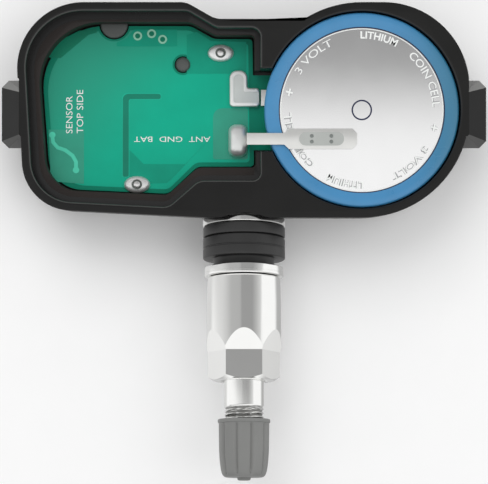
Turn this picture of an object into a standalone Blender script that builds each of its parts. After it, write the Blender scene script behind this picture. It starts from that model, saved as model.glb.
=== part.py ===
"""Tire pressure monitor: a sensor housing on a clamp-in valve stem, built from separate pieces.

Lengths in this file are millimetres, and each mesh is scaled to metres as it is made.
Frame: the housing lies on its closed back with its open face up, +Z. The stem points to -Y.
The origin is the middle of the housing's underside.
"""
import math

import bmesh
import bpy
from mathutils import Matrix, Vector

MM = 0.001

# Clearances
FIT_GAP = 0.15          # between pieces that are seated in or on each other
STACK_GAP = 0.10        # between the pieces stacked along the stem
BOARD_GAP = 0.20        # around the board's edge and under its face
RUNNING_GAP = 0.20      # between pieces that turn or slide on each other

# Coin cell
CELL_DIAMETER = 24.5
CELL_HEIGHT = 5.0
SLEEVE_WALL = 0.25
SLEEVE_LIP = 1.6
CAN_WALL = 0.30
CELL_CAP_RADIUS = 10.4

# Housing
HOUSING_HALF_LENGTH = 28.9
HOUSING_HEIGHT = 11.3
WALL = 1.15
FLOOR = 1.4
BACK_EDGE = 1.3         # bevel around the underside
WAIST_DROP = 2.15       # how far the waist lies inside the two lobes' back edge
SEAT_WIDTH = 0.6        # ledge that the board's edge lies on
LEDGE_DEPTH = 3.2       # from the open face down to the ledge around the board
BLOCK_DEPTH = 4.75      # solid plastic in front of the board, where the stem is moulded in
LUG_REACH = 2.65        # how far the end lugs stand out
LUG_LENGTH = 8.8

# Board
BOARD_THICKNESS = 1.0
COMPONENT_SPACE = 2.7   # height under the board for its components
TONGUE_HALF_WIDTH = 4.9
PEG_RADIUS = 0.95
BOSS_RADIUS = 1.8
PORT_RADIUS = 0.9

# Valve stem, with stations along its axis measured from the housing's front wall
STEM_TILT = math.radians(9.5)
STEM_AXIS_HEIGHT = 5.5
DOME_RADIUS = 8.2
COLLAR_RADIUS = 5.35
COLLAR_END = 1.2
RING_LENGTH = 1.4
GROMMET_LENGTH = 2.7
GROMMET_NECK_RADIUS = 4.0
GROMMET_NECK_LENGTH = 1.0
WASHER_RADIUS = 5.13
WASHER_THICKNESS = 1.25
SHANK_RADIUS = 2.6
NUT_THREAD_RADIUS = 3.1
NUT_SLEEVE_RADIUS = 4.8
NUT_SLEEVE_LENGTH = 9.7
HEX_FLAT_RADIUS = 4.02
HEX_LENGTH = 3.7
HEX_RAMP = 2.7          # length of the slopes that lead from the sleeve onto the hexagon
STEM_RADIUS = 2.55
PLAIN_LENGTH = 3.1      # smooth stem between the nut and the cap's thread
THREAD_PITCH = 0.53
THREAD_DEPTH = 0.25
THREAD_TURNS = 14
BORE_RADIUS = 1.45
AIRWAY_RADIUS = 0.8
CAP_RADIUS = 3.3
CAP_END_RADIUS = 2.9
CAP_WALL = 0.6
CAP_RIBS = 10

# Derived sizes
can_radius = CELL_DIAMETER / 2
sleeve_radius = can_radius + SLEEVE_WALL
cell_pocket_radius = sleeve_radius + FIT_GAP
lobe_radius = cell_pocket_radius + WALL
cell_x = HOUSING_HALF_LENGTH - lobe_radius
front_y = -lobe_radius
ledge_z = HOUSING_HEIGHT - LEDGE_DEPTH
board_bottom = FLOOR + COMPONENT_SPACE + BOARD_GAP
board_top = board_bottom + BOARD_THICKNESS
cell_bottom = board_top + 0.4
cell_top = cell_bottom + CELL_HEIGHT
divider_x = cell_x - cell_pocket_radius - 0.35   # right side of the board's pocket
block_y = front_y + BLOCK_DEPTH
ring_start = COLLAR_END + STACK_GAP
grommet_start = ring_start + RING_LENGTH
neck_start = grommet_start + STACK_GAP + GROMMET_LENGTH
washer_start = neck_start + GROMMET_NECK_LENGTH + STACK_GAP
nut_start = washer_start + WASHER_THICKNESS + STACK_GAP
hex_start = nut_start + NUT_SLEEVE_LENGTH
nut_end = hex_start + HEX_LENGTH
thread_start = nut_end + PLAIN_LENGTH
cap_start = thread_start + 3.5 * THREAD_PITCH
tip = thread_start + THREAD_TURNS * THREAD_PITCH

# Colours
BLACK_PLASTIC = (0.022, 0.022, 0.021, 1.0)
BOARD_GREEN = (0.010, 0.340, 0.225, 1.0)
STEEL = (0.72, 0.72, 0.71, 1.0)
NICKEL = (0.62, 0.62, 0.60, 1.0)
SOLDER = (0.80, 0.81, 0.80, 1.0)
SLEEVE_BLUE = (0.070, 0.280, 0.530, 1.0)
RUBBER = (0.040, 0.040, 0.040, 1.0)
ALUMINIUM = (0.75, 0.75, 0.73, 1.0)
CAP_GREY = (0.215, 0.220, 0.210, 1.0)
CHIP_BLACK = (0.020, 0.020, 0.022, 1.0)
CERAMIC = (0.420, 0.330, 0.230, 1.0)
COPPER = (0.720, 0.360, 0.180, 1.0)
BRASS = (0.700, 0.520, 0.230, 1.0)
PELLET = (0.060, 0.060, 0.065, 1.0)
FILM = (0.850, 0.850, 0.830, 1.0)
LITHIUM = (0.550, 0.550, 0.560, 1.0)


def clear_scene():
    for item in list(bpy.data.objects):
        bpy.data.objects.remove(item, do_unlink=True)


def material(name, colour, roughness, metallic=0.0):
    found = bpy.data.materials.get(name)
    if found:
        return found
    made = bpy.data.materials.new(name)
    made.use_nodes = True
    shader = made.node_tree.nodes["Principled BSDF"]
    shader.inputs["Base Color"].default_value = colour
    shader.inputs["Roughness"].default_value = roughness
    shader.inputs["Metallic"].default_value = metallic
    return made


def add_object(name, mesh_data, finish=None, parent=None):
    """Write a bmesh, drawn in millimetres, into a new object in metres."""
    bmesh.ops.recalc_face_normals(mesh_data, faces=mesh_data.faces)
    mesh_data.transform(Matrix.Scale(MM, 4))
    mesh = bpy.data.meshes.new(name)
    mesh_data.to_mesh(mesh)
    mesh_data.free()
    item = bpy.data.objects.new(name, mesh)
    bpy.context.collection.objects.link(item)
    if finish:
        mesh.materials.append(finish)
        mesh.shade_smooth()
        mesh.set_sharp_from_angle(angle=math.radians(35))
    if parent:
        item.parent = parent
    return item


def add_empty(name, location, rotation=(0.0, 0.0, 0.0)):
    item = bpy.data.objects.new(name, None)
    item.location = Vector(location) * MM
    item.rotation_euler = rotation
    bpy.context.collection.objects.link(item)
    return item


def boolean(item, tool, operation="DIFFERENCE"):
    """Cut, join or trim an object with a hidden tool object."""
    tool.hide_render = True
    tool.display_type = "WIRE"
    step = item.modifiers.new(operation.title() + "_" + tool.name, "BOOLEAN")
    step.operation = operation
    step.solver = "EXACT"
    step.object = tool


def rounded(corners, steps=5):
    """Round each (x, y, radius) corner of a polygon with an arc."""
    points = []
    count = len(corners)
    for index, (x, y, radius) in enumerate(corners):
        corner = Vector((x, y))
        before = Vector(corners[index - 1][:2]) - corner
        after = Vector(corners[(index + 1) % count][:2]) - corner
        half_angle = before.angle(after) / 2
        reach = radius / math.tan(half_angle)
        if radius <= 0 or reach < 0.01:
            points.append(corner)
            continue
        start = corner + before.normalized() * reach
        end = corner + after.normalized() * reach
        centre = corner + (before.normalized() + after.normalized()).normalized() * (radius / math.sin(half_angle))
        turn = math.pi - 2 * half_angle
        pieces = max(2, round(steps * turn / (math.pi / 2)))
        first = start - centre
        sweep = first.angle_signed(end - centre)
        for part in range(pieces + 1):
            angle = -sweep * part / pieces
            spun = Vector((
                first.x * math.cos(angle) - first.y * math.sin(angle),
                first.x * math.sin(angle) + first.y * math.cos(angle),
            ))
            points.append(centre + spun)
    return points


def circle(x, y, radius, count, phase=0.0):
    turns = [phase + 2 * math.pi * index / count for index in range(count)]
    return [Vector((x + radius * math.cos(turn), y + radius * math.sin(turn))) for turn in turns]


def loft(layers):
    """Closed solid through a stack of outlines: [(points, z), ...] with equal counts of points."""
    mesh_data = bmesh.new()
    rings = [[mesh_data.verts.new((p.x, p.y, z)) for p in points] for points, z in layers]
    count = len(rings[0])
    for lower, upper in zip(rings, rings[1:]):
        for index in range(count):
            following = (index + 1) % count
            mesh_data.faces.new((lower[index], lower[following], upper[following], upper[index]))
    mesh_data.faces.new(rings[0])
    mesh_data.faces.new(rings[-1])
    return mesh_data


def prism(points, bottom, top):
    return loft([(points, bottom), (points, top)])


def block(low, high):
    """Box between two corners."""
    points = [Vector((low[0], low[1])), Vector((high[0], low[1])), Vector((high[0], high[1])), Vector((low[0], high[1]))]
    return prism(points, low[2], high[2])


def turned(profile, segments=32, shape=None):
    """Solid of revolution about Z from a closed (radius, height) profile.

    shape(radius, height, step) may change the radius around the turn.
    """
    mesh_data = bmesh.new()
    rings = []
    for radius, height in profile:
        if radius < 1e-6:
            rings.append([mesh_data.verts.new((0.0, 0.0, height))])
            continue
        ring = []
        for step in range(segments):
            angle = 2 * math.pi * step / segments
            reach = shape(radius, height, step) if shape else radius
            ring.append(mesh_data.verts.new((reach * math.cos(angle), reach * math.sin(angle), height)))
        rings.append(ring)
    for first, second in zip(rings, rings[1:] + rings[:1]):
        if len(first) == 1 and len(second) == 1:
            continue
        for step in range(segments):
            following = (step + 1) % segments
            corners = []
            for ring, order in ((first, (step, following)), (second, (following, step))):
                corners += [ring[0]] if len(ring) == 1 else [ring[order[0]], ring[order[1]]]
            mesh_data.faces.new(corners)
    return mesh_data


def shift(mesh_data, x, y, z=0.0):
    mesh_data.transform(Matrix.Translation((x, y, z)))
    return mesh_data


def swept(path, radius, sides):
    """Round bar along a path, with flat ends."""
    mesh_data = bmesh.new()
    rings = []
    normal = None
    for index, point in enumerate(path):
        ahead = path[min(index + 1, len(path) - 1)] - path[max(index - 1, 0)]
        ahead.normalize()
        if normal is None:
            normal = ahead.orthogonal().normalized()
        normal = (normal - ahead * normal.dot(ahead)).normalized()
        side = ahead.cross(normal)
        ring = []
        for step in range(sides):
            angle = 2 * math.pi * step / sides
            offset = normal * math.cos(angle) + side * math.sin(angle)
            ring.append(mesh_data.verts.new(point + offset * radius))
        rings.append(ring)
    for first, second in zip(rings, rings[1:]):
        for step in range(sides):
            following = (step + 1) % sides
            mesh_data.faces.new((first[step], first[following], second[following], second[step]))
    mesh_data.faces.new(rings[0])
    mesh_data.faces.new(rings[-1])
    return mesh_data


# Outlines ---------------------------------------------------------------------------------------

left_top_x = -HOUSING_HALF_LENGTH - 0.6
left_bottom_x = -HOUSING_HALF_LENGTH + 0.75
waist_y = lobe_radius - WAIST_DROP
lobe_turn = math.acos(waist_y / lobe_radius)     # where the cell lobe leaves the waist line
waist_right_x = cell_x - lobe_radius * math.sin(lobe_turn)
lobe_corner_x = waist_right_x + WAIST_DROP / math.tan(lobe_turn)
waist_left_x = divider_x - 5.75


def housing_outline():
    return rounded([
        (left_top_x, lobe_radius, 8.5),
        (waist_left_x - WAIST_DROP * 1.75, lobe_radius, 3.0),
        (waist_left_x, waist_y, 3.0),
        (waist_right_x, waist_y, 0.8),
        (lobe_corner_x, lobe_radius, lobe_radius),
        (HOUSING_HALF_LENGTH, lobe_radius, lobe_radius * 0.8),
        (HOUSING_HALF_LENGTH, front_y, lobe_radius - 0.1),
        (divider_x - 7.0, front_y, 12.0),
        (left_bottom_x, front_y + 1.2, 6.4),
    ], 8)


def pocket_outline():
    """Board pocket at the open face, one wall inside the housing's outline."""
    return rounded([
        (left_top_x + WALL, lobe_radius - WALL, 7.3),
        (waist_left_x - WAIST_DROP * 1.65, lobe_radius - WALL, 2.0),
        (waist_left_x + 0.1, waist_y - WALL, 2.0),
        (divider_x, waist_y - WALL, 1.2),
        (divider_x, block_y, 1.0),
        (divider_x - 7.9, block_y, 2.0),
        (divider_x - 11.8, front_y + 1.35, 2.0),
        (left_bottom_x + WALL, front_y + 2.25, 5.4),
    ])


def board_outline(margin):
    """Lower part of the board pocket, which the board's edge follows at a margin."""
    return rounded([
        (left_top_x + WALL + 1.3 + margin, lobe_radius - WALL - 1.1 - margin, 8.0),
        (waist_left_x - WAIST_DROP * 1.55, lobe_radius - WALL - 1.1 - margin, 2.0),
        (waist_left_x - 0.1 - margin, waist_y - WALL - 0.65 - margin, 2.0),
        (divider_x - 0.8 - margin, waist_y - WALL - 0.65 - margin, 0.5),
        (divider_x - 0.6 - margin, block_y + 1.8 + margin, 0.5),
        (divider_x - 8.1 - margin * 0.4, block_y + 1.8 + margin, 1.5),
        (divider_x - 12.0, front_y + 3.0 + margin, 1.5),
        (left_bottom_x + WALL + 1.5 + margin, front_y + 3.7 + margin, 4.5),
    ])


# Housing ----------------------------------------------------------------------------------------

peg_x = divider_x - 10.1
peg_y = 6.3
boss_x = divider_x - 19.1
boss_y = lobe_radius - WALL - 1.1
port_x = divider_x - 15.0
port_y = 2.0


def lug(side):
    """Sloped grip lug on an end of the housing: low outside, level with the open face inside."""
    end = HOUSING_HALF_LENGTH
    inner = end - 1.0
    slope_end = end - 0.1
    half = LUG_LENGTH / 2
    layers = []
    for outer, low, high, z in (
        (end + LUG_REACH - 0.9, -half + 0.3, half - 0.8, 2.0),
        (end + LUG_REACH, -half - 0.3, half - 0.3, 6.6),
        (slope_end, -half + 1.0, half - 1.9, HOUSING_HEIGHT),
    ):
        corner = 0.25 * (outer - inner)
        points = [
            Vector((inner, low)), Vector((outer - corner, low)), Vector((outer, low + corner)),
            Vector((outer, high - corner)), Vector((outer - corner, high)), Vector((inner, high)),
        ]
        layers.append(([Vector((side * p.x, p.y)) for p in points], z))
    return loft(layers)


def lug_window(side):
    """Space over a lug's slopes, taken out of the housing's rim."""
    half = LUG_LENGTH / 2
    inner = side * (HOUSING_HALF_LENGTH - 0.1)
    outer = side * (HOUSING_HALF_LENGTH + LUG_REACH + 2.0)
    low = (min(inner, outer), -half - 0.3, 6.6)
    high = (max(inner, outer), half - 0.3, HOUSING_HEIGHT + 1.0)
    return block(low, high)


def make_housing():
    finish = material("black_plastic", BLACK_PLASTIC, 0.55)
    outline = housing_outline()
    centre = Vector((0.0, 0.0))
    shrink = 1.0 - BACK_EDGE / (1.6 * lobe_radius)
    back = [centre + Vector(((p.x - centre.x) * (1.0 - BACK_EDGE / 29.0), p.y * shrink)) for p in outline]
    housing = add_object("housing", loft([(back, 0.0), (outline, BACK_EDGE), (outline, HOUSING_HEIGHT)]), finish)
    for side, word in ((-1, "left"), (1, "right")):
        boolean(housing, add_object("lug_window_" + word, lug_window(side)))
        boolean(housing, add_object("lug_" + word, lug(side)), "UNION")
    over = HOUSING_HEIGHT + 1.0
    boolean(housing, add_object("board_pocket", prism(pocket_outline(), ledge_z, over)))
    boolean(housing, add_object("board_seat", prism(board_outline(0.0), board_bottom - BOARD_GAP, over)))
    boolean(housing, add_object("component_room", prism(board_outline(SEAT_WIDTH), FLOOR, over)))
    cell_hole = circle(cell_x, 0.0, cell_pocket_radius, 64)
    boolean(housing, add_object("cell_pocket", prism(cell_hole, board_bottom - BOARD_GAP, over)))
    boolean(housing, add_object("cell_room", prism(circle(cell_x, 0.0, cell_pocket_radius - 1.5, 64), FLOOR, over)))
    slot = block((divider_x - 2.0, -TONGUE_HALF_WIDTH - 0.4, board_bottom - BOARD_GAP),
                 (cell_x - cell_pocket_radius + 2.0, TONGUE_HALF_WIDTH + 0.4, over))
    boolean(housing, add_object("tongue_slot", slot))
    seat = add_object("stem_seat", stem_seat(), parent=stem_frame)
    boolean(housing, seat)
    port = prism(circle(port_x, port_y, PORT_RADIUS, 20), -1.0, FLOOR + 1.0)
    boolean(housing, add_object("pressure_port", port))
    peg = turned([
        (0.0, FLOOR - 0.5), (PEG_RADIUS + 0.7, FLOOR - 0.5), (PEG_RADIUS + 0.7, board_bottom - BOARD_GAP),
        (PEG_RADIUS, board_bottom - BOARD_GAP), (PEG_RADIUS, board_top + 0.25), (PEG_RADIUS - 0.25, board_top + 0.5),
        (0.0, board_top + 0.5),
    ], 20)
    boolean(housing, add_object("board_peg", shift(peg, peg_x, peg_y)), "UNION")
    boss = prism(circle(boss_x, boss_y, BOSS_RADIUS, 28), FLOOR - 0.5, board_top + 0.4)
    boolean(housing, add_object("board_boss", boss), "UNION")
    return housing


# Board and what it carries ----------------------------------------------------------------------

antenna_upper = (divider_x - 5.15, 7.8)
antenna_lower = (divider_x - 16.1, -9.4)
PIN_RADIUS = 0.4
plus_pad = (divider_x - 2.95, -3.72)
minus_pad = (divider_x - 2.85, 3.1)


def make_board():
    finish = material("board_laminate", BOARD_GREEN, 0.35)
    board = add_object("circuit_board", prism(board_outline(BOARD_GAP), board_bottom, board_top), finish)
    tongue = block((divider_x - 2.0, -TONGUE_HALF_WIDTH, board_bottom), (cell_x, TONGUE_HALF_WIDTH, board_top))
    boolean(board, add_object("board_tongue", tongue), "UNION")
    disc = prism(circle(cell_x, 0.0, cell_pocket_radius - 0.4, 64), board_bottom, board_top)
    boolean(board, add_object("board_disc", disc), "UNION")
    low = board_bottom - 1.0
    high = board_top + 1.0
    boolean(board, add_object("peg_hole", prism(circle(peg_x, peg_y, PEG_RADIUS + FIT_GAP, 20), low, high)))
    notch = prism(circle(boss_x, boss_y, BOSS_RADIUS + FIT_GAP, 28), low, high)
    boolean(board, add_object("boss_notch", notch))
    for word, (x, y) in (("upper", antenna_upper), ("lower", antenna_lower)):
        hole = prism(circle(x, y, PIN_RADIUS + FIT_GAP, 16), low, high)
        boolean(board, add_object("pin_hole_" + word, hole))
    return board


def make_antenna():
    """Wire loop under the board, with both ends standing up through it."""
    finish = material("antenna_wire", COPPER, 0.3, 1.0)
    low = board_bottom - 1.0
    high = board_top + 0.75
    start = Vector((antenna_upper[0], antenna_upper[1], low))
    end = Vector((antenna_lower[0], antenna_lower[1], low))
    path = [Vector((start.x, start.y, high)), start, end, Vector((end.x, end.y, high))]
    return add_object("antenna_loop", swept(path, PIN_RADIUS, 8), finish)


def make_solder():
    finish = material("solder", SOLDER, 0.3, 0.9)
    base = board_top + 0.08
    for word, (x, y) in (("upper", antenna_upper), ("lower", antenna_lower)):
        ring = turned([
            (PIN_RADIUS + 0.1, base), (1.35, base), (1.25, base + 0.25), (0.8, base + 0.5), (PIN_RADIUS + 0.1, base + 0.6),
        ], 20)
        ring.transform(Matrix.Diagonal((1.3, 0.85, 1.0, 1.0)))
        add_object("solder_antenna_" + word, shift(ring, x, y), finish)
    return finish


def make_tabs(finish):
    """Welded strips that carry the cell's current to the board, and their solder joints."""
    strip = material("tab_strip", STEEL, 0.3, 0.6)
    tab_low = cell_top + SLEEVE_WALL + 0.1
    tab_high = tab_low + 0.2
    y = plus_pad[1]
    left = plus_pad[0] + 1.2
    neck = cell_x - can_radius + 2.3
    right = cell_x - 0.6
    outline = [
        Vector((left, y - 0.75)), Vector((neck, y - 0.75)), Vector((neck + 0.6, y - 1.32)),
        Vector((right - 0.6, y - 1.32)), Vector((right, y - 0.7)), Vector((right, y + 0.7)),
        Vector((right - 0.6, y + 1.32)), Vector((neck + 0.6, y + 1.32)), Vector((neck, y + 0.75)),
        Vector((left, y + 0.75)),
    ]
    tab = add_object("positive_tab", prism(outline, tab_low, tab_high), strip)
    foot = block((left, y - 0.75, board_top + 0.3), (left + 0.2, y + 0.75, tab_high))
    boolean(tab, add_object("tab_foot", foot), "UNION")
    under = block((minus_pad[0] + 2.95, minus_pad[1] - 2.2, board_top + 0.1),
                  (cell_x - 2.0, minus_pad[1] - 0.1, board_top + 0.3))
    add_object("negative_tab", under, strip)
    blob = turned([
        (0.0, board_top + 0.08), (1.15, board_top + 0.08), (1.1, board_top + 0.45), (0.85, board_top + 1.0),
        (0.45, board_top + 1.35), (0.0, board_top + 1.45),
    ], 20)
    blob.transform(Matrix.Diagonal((1.0, 1.85, 1.0, 1.0)))
    add_object("solder_positive", shift(blob, plus_pad[0] - 0.1, y), finish)
    x, y = minus_pad
    angle = [
        (x - 1.15, y - 2.35, 0.5), (x + 2.75, y - 2.35, 0.4), (x + 2.75, y + 0.1, 0.4),
        (x + 1.2, y + 0.1, 0.3), (x + 1.2, y + 2.4, 1.0), (x - 1.15, y + 2.4, 1.0),
    ]
    foot = rounded(angle, 3)
    top = [Vector((x + 0.3 + (p.x - x - 0.3) * 0.85, y - 0.6 + (p.y - y + 0.6) * 0.85)) for p in foot]
    add_object("solder_negative", loft([(foot, board_top + 0.08), (foot, board_top + 0.35), (top, board_top + 0.8)]), finish)


def make_components():
    """Parts on the board's underside, over the housing's floor."""
    chip = material("chip_package", CHIP_BLACK, 0.5)
    ceramic = material("ceramic_body", CERAMIC, 0.5)
    tinned = material("tinned_can", NICKEL, 0.3, 1.0)
    ferrite = material("coil_winding", COPPER, 0.4, 0.8)
    seal = material("silicone_seal", (0.35, 0.08, 0.05, 1.0), 0.7)
    film = material("vent_film", FILM, 0.8)
    top = board_bottom - STACK_GAP
    parts = [
        ("pressure_sensor", chip, (port_x, port_y), (5.0, 5.0), 1.8),
        ("radio_chip", chip, (port_x - 6.5, port_y - 1.5), (4.0, 4.0), 1.0),
        ("crystal", tinned, (port_x - 6.5, port_y + 3.2), (3.2, 2.5), 0.8),
        ("wake_up_coil", ferrite, (port_x + 10.6, port_y - 2.0), (2.6, 6.0), 2.4),
        ("supply_capacitor", ceramic, (port_x - 3.5, port_y - 6.5), (3.2, 1.6), 1.4),
        ("tuning_capacitor", ceramic, (port_x + 6.0, port_y - 7.0), (1.6, 0.9), 0.8),
        ("matching_inductor", tinned, (port_x - 3.2, port_y + 5.4), (2.0, 1.3), 1.0),
    ]
    for name, finish, (x, y), (length, width), height in parts:
        body = block((x - length / 2, y - width / 2, top - height), (x + length / 2, y + width / 2, top))
        add_object(name, body, finish)
    seal_top = top - 1.8 - STACK_GAP
    ring = turned([(0.95, FLOOR + 0.1), (1.9, FLOOR + 0.1), (1.9, seal_top), (0.95, seal_top)], 24)
    add_object("port_seal", shift(ring, port_x, port_y), seal)
    disc = prism(circle(port_x, port_y, PORT_RADIUS - 0.08, 20), FLOOR * 0.35, FLOOR * 0.35 + 0.25)
    add_object("port_membrane", disc, film)


# Coin cell --------------------------------------------------------------------------------------

def make_cell():
    steel = material("cell_steel", STEEL, 0.25, 0.9)
    place = add_empty("cell_frame", (cell_x, 0.0, cell_bottom))
    inner = can_radius - CAN_WALL
    roof = CELL_HEIGHT - CAN_WALL
    lip = 0.9
    mouth = CELL_CAP_RADIUS + 0.75
    add_object("cell_can", turned([
        (0.0, roof), (inner, roof), (inner, lip + CAN_WALL), (mouth, lip * 0.55), (mouth, lip * 0.2),
        (can_radius - 0.35, 0.15), (can_radius, lip), (can_radius, CELL_HEIGHT - 0.4),
        (can_radius - 0.4, CELL_HEIGHT), (0.0, CELL_HEIGHT),
    ], 56), steel, place)
    rim = CELL_CAP_RADIUS
    add_object("cell_cap", turned([
        (0.0, 0.05), (rim, 0.05), (rim, 1.3), (rim + 0.75, 1.3), (rim + 0.75, 1.5), (rim - 0.25, 1.5), (rim - 0.25, 0.3),
        (0.0, 0.3),
    ], 40), steel, place)
    gap = STACK_GAP
    add_object("cell_gasket", turned([
        (rim + gap, 0.15), (mouth - gap, 0.15), (mouth - gap, lip * 0.55 + 0.15), (inner - gap, lip + CAN_WALL + 0.25),
        (inner - gap, 2.1), (rim + 0.75 + gap, 2.1), (rim + 0.75 + gap, 1.3 - gap), (rim + gap, 1.3 - gap),
    ], 40), material("gasket_nylon", FILM, 0.6), place)
    pellet = inner - 0.9
    add_object("cell_cathode", turned([(0.0, 2.6), (pellet, 2.6), (pellet, roof - gap), (0.0, roof - gap)], 32),
               material("cathode_pellet", PELLET, 0.8), place)
    add_object("cell_separator", turned([(0.0, 2.3), (pellet, 2.3), (pellet, 2.5), (0.0, 2.5)], 32),
               material("separator_film", FILM, 0.9), place)
    foil = rim - 0.6
    add_object("cell_anode", turned([(0.0, 0.4), (foil, 0.4), (foil, 2.2), (0.0, 2.2)], 32),
               material("lithium", LITHIUM, 0.4, 1.0), place)
    lip_radius = sleeve_radius - SLEEVE_LIP - SLEEVE_WALL
    skin = can_radius + 0.06
    add_object("cell_sleeve", turned([
        (skin, CELL_HEIGHT + 0.06), (skin, 0.6), (sleeve_radius, 0.6), (sleeve_radius, CELL_HEIGHT),
        (sleeve_radius - 0.2, CELL_HEIGHT + 0.22), (lip_radius, CELL_HEIGHT + 0.22), (lip_radius, CELL_HEIGHT + 0.06),
    ], 64), material("shrink_sleeve", SLEEVE_BLUE, 0.35), place)


# Valve stem -------------------------------------------------------------------------------------

dome_centre = DOME_RADIUS - 1.76
ROOT_RADIUS = 2.2
ROOT_FLANGE_RADIUS = 3.0
ROOT_LENGTH = 3.5


def dome(radius, gap, start, end, steps):
    """Points of a ball seat around the stem's axis, between two radii."""
    ball = radius + gap
    points = []
    for step in range(steps + 1):
        reach = start + (end - start) * step / steps
        points.append((reach, dome_centre - math.sqrt(ball * ball - reach * reach)))
    return points


def stem_seat():
    """Space in the housing's front block for the stem's root and the ball seat of its collar."""
    gap = FIT_GAP
    flange = ROOT_FLANGE_RADIUS + gap
    neck = ROOT_RADIUS + gap
    profile = [(0.0, -ROOT_LENGTH - gap), (flange, -ROOT_LENGTH - gap), (flange, -ROOT_LENGTH + 1.0 + gap),
               (neck, -ROOT_LENGTH + 1.0 + gap)]
    profile += dome(DOME_RADIUS, gap * 1.8, neck, COLLAR_RADIUS + 1.9, 8)
    profile += [(COLLAR_RADIUS + 1.9, 4.0), (0.0, 4.0)]
    return turned(profile, 40)


def make_stem():
    finish = material("stem_aluminium", ALUMINIUM, 0.3, 1.0)
    profile = [(0.0, -ROOT_LENGTH), (ROOT_FLANGE_RADIUS, -ROOT_LENGTH), (ROOT_FLANGE_RADIUS, -ROOT_LENGTH + 1.0),
               (ROOT_RADIUS, -ROOT_LENGTH + 1.0)]
    profile += dome(DOME_RADIUS, 0.0, ROOT_RADIUS, COLLAR_RADIUS, 5)
    profile += [
        (COLLAR_RADIUS, COLLAR_END), (SHANK_RADIUS, COLLAR_END), (SHANK_RADIUS, nut_start + 0.3),
        (NUT_THREAD_RADIUS, nut_start + 0.8), (NUT_THREAD_RADIUS, hex_start - 0.6), (STEM_RADIUS, hex_start),
        (STEM_RADIUS, thread_start),
    ]
    for turn in range(THREAD_TURNS):
        low = thread_start + turn * THREAD_PITCH
        profile += [(STEM_RADIUS - THREAD_DEPTH, low + THREAD_PITCH / 2), (STEM_RADIUS, low + THREAD_PITCH)]
    core_depth = tip - 8.0
    profile += [
        (STEM_RADIUS - 0.4, tip + 0.3), (BORE_RADIUS, tip + 0.3), (BORE_RADIUS, core_depth),
        (AIRWAY_RADIUS, core_depth - 0.8), (AIRWAY_RADIUS, 0.2), (0.0, 0.2),
    ]
    stem = add_object("valve_stem", turned(profile, 32), finish, stem_frame)
    outlet = prism(circle(0.0, 0.0, 0.3, 12), 0.0, COLLAR_RADIUS + 2.0)
    outlet.transform(Matrix.Rotation(math.radians(90), 4, "X"))
    outlet.transform(Matrix.Translation((0.0, 0.0, 0.75)))
    boolean(stem, add_object("air_outlet", outlet, parent=stem_frame))


def make_rubber():
    finish = material("grommet_rubber", RUBBER, 0.6)
    hole = SHANK_RADIUS + FIT_GAP
    ring_end = ring_start + RING_LENGTH
    outer = COLLAR_RADIUS
    add_object("backing_ring", turned([
        (hole, ring_start), (outer - 0.15, ring_start), (outer, ring_start + 0.2), (outer, ring_end - 0.2),
        (outer - 0.2, ring_end), (hole, ring_end),
    ], 36), finish, stem_frame)
    start = grommet_start + STACK_GAP
    neck_end = neck_start + GROMMET_NECK_LENGTH
    add_object("rim_grommet", turned([
        (hole, start), (outer - 0.2, start), (outer, start + 0.2), (outer, neck_start - 0.25),
        (outer - 0.25, neck_start), (GROMMET_NECK_RADIUS, neck_start), (GROMMET_NECK_RADIUS - 0.15, neck_end),
        (hole, neck_end),
    ], 36), finish, stem_frame)


def make_nut():
    finish = material("nut_aluminium", ALUMINIUM, 0.28, 1.0)
    hole = NUT_THREAD_RADIUS + RUNNING_GAP
    washer_end = washer_start + WASHER_THICKNESS
    add_object("nut_washer", turned([
        (hole, washer_start), (WASHER_RADIUS - 0.12, washer_start), (WASHER_RADIUS, washer_start + 0.12),
        (WASHER_RADIUS, washer_end - 0.12), (WASHER_RADIUS - 0.12, washer_end), (hole, washer_end),
    ], 36), finish, stem_frame)
    sleeve = NUT_SLEEVE_RADIUS
    nut = add_object("clamp_nut", turned([
        (hole, nut_start), (sleeve - 0.2, nut_start), (sleeve - 0.1, nut_start + 0.15), (sleeve, hex_start - 2.0),
        (sleeve, nut_end - 0.55), (HEX_FLAT_RADIUS - 0.15, nut_end), (STEM_RADIUS + RUNNING_GAP, nut_end),
        (STEM_RADIUS + RUNNING_GAP, nut_end - 1.2), (hole, nut_end - 1.6),
    ], 48), finish, stem_frame)
    corner = 1.0 / math.cos(math.radians(30))
    wide = HEX_FLAT_RADIUS + (sleeve - HEX_FLAT_RADIUS) * 1.5
    stations = [
        (wide, nut_start - 1.0), (wide, hex_start - HEX_RAMP * 1.5), (HEX_FLAT_RADIUS, hex_start),
        (HEX_FLAT_RADIUS, nut_end + 1.0),
    ]
    trim = loft([(circle(0.0, 0.0, reach * corner, 6), station) for reach, station in stations])
    boolean(nut, add_object("hexagon_trim", trim, parent=stem_frame), "INTERSECT")


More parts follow.
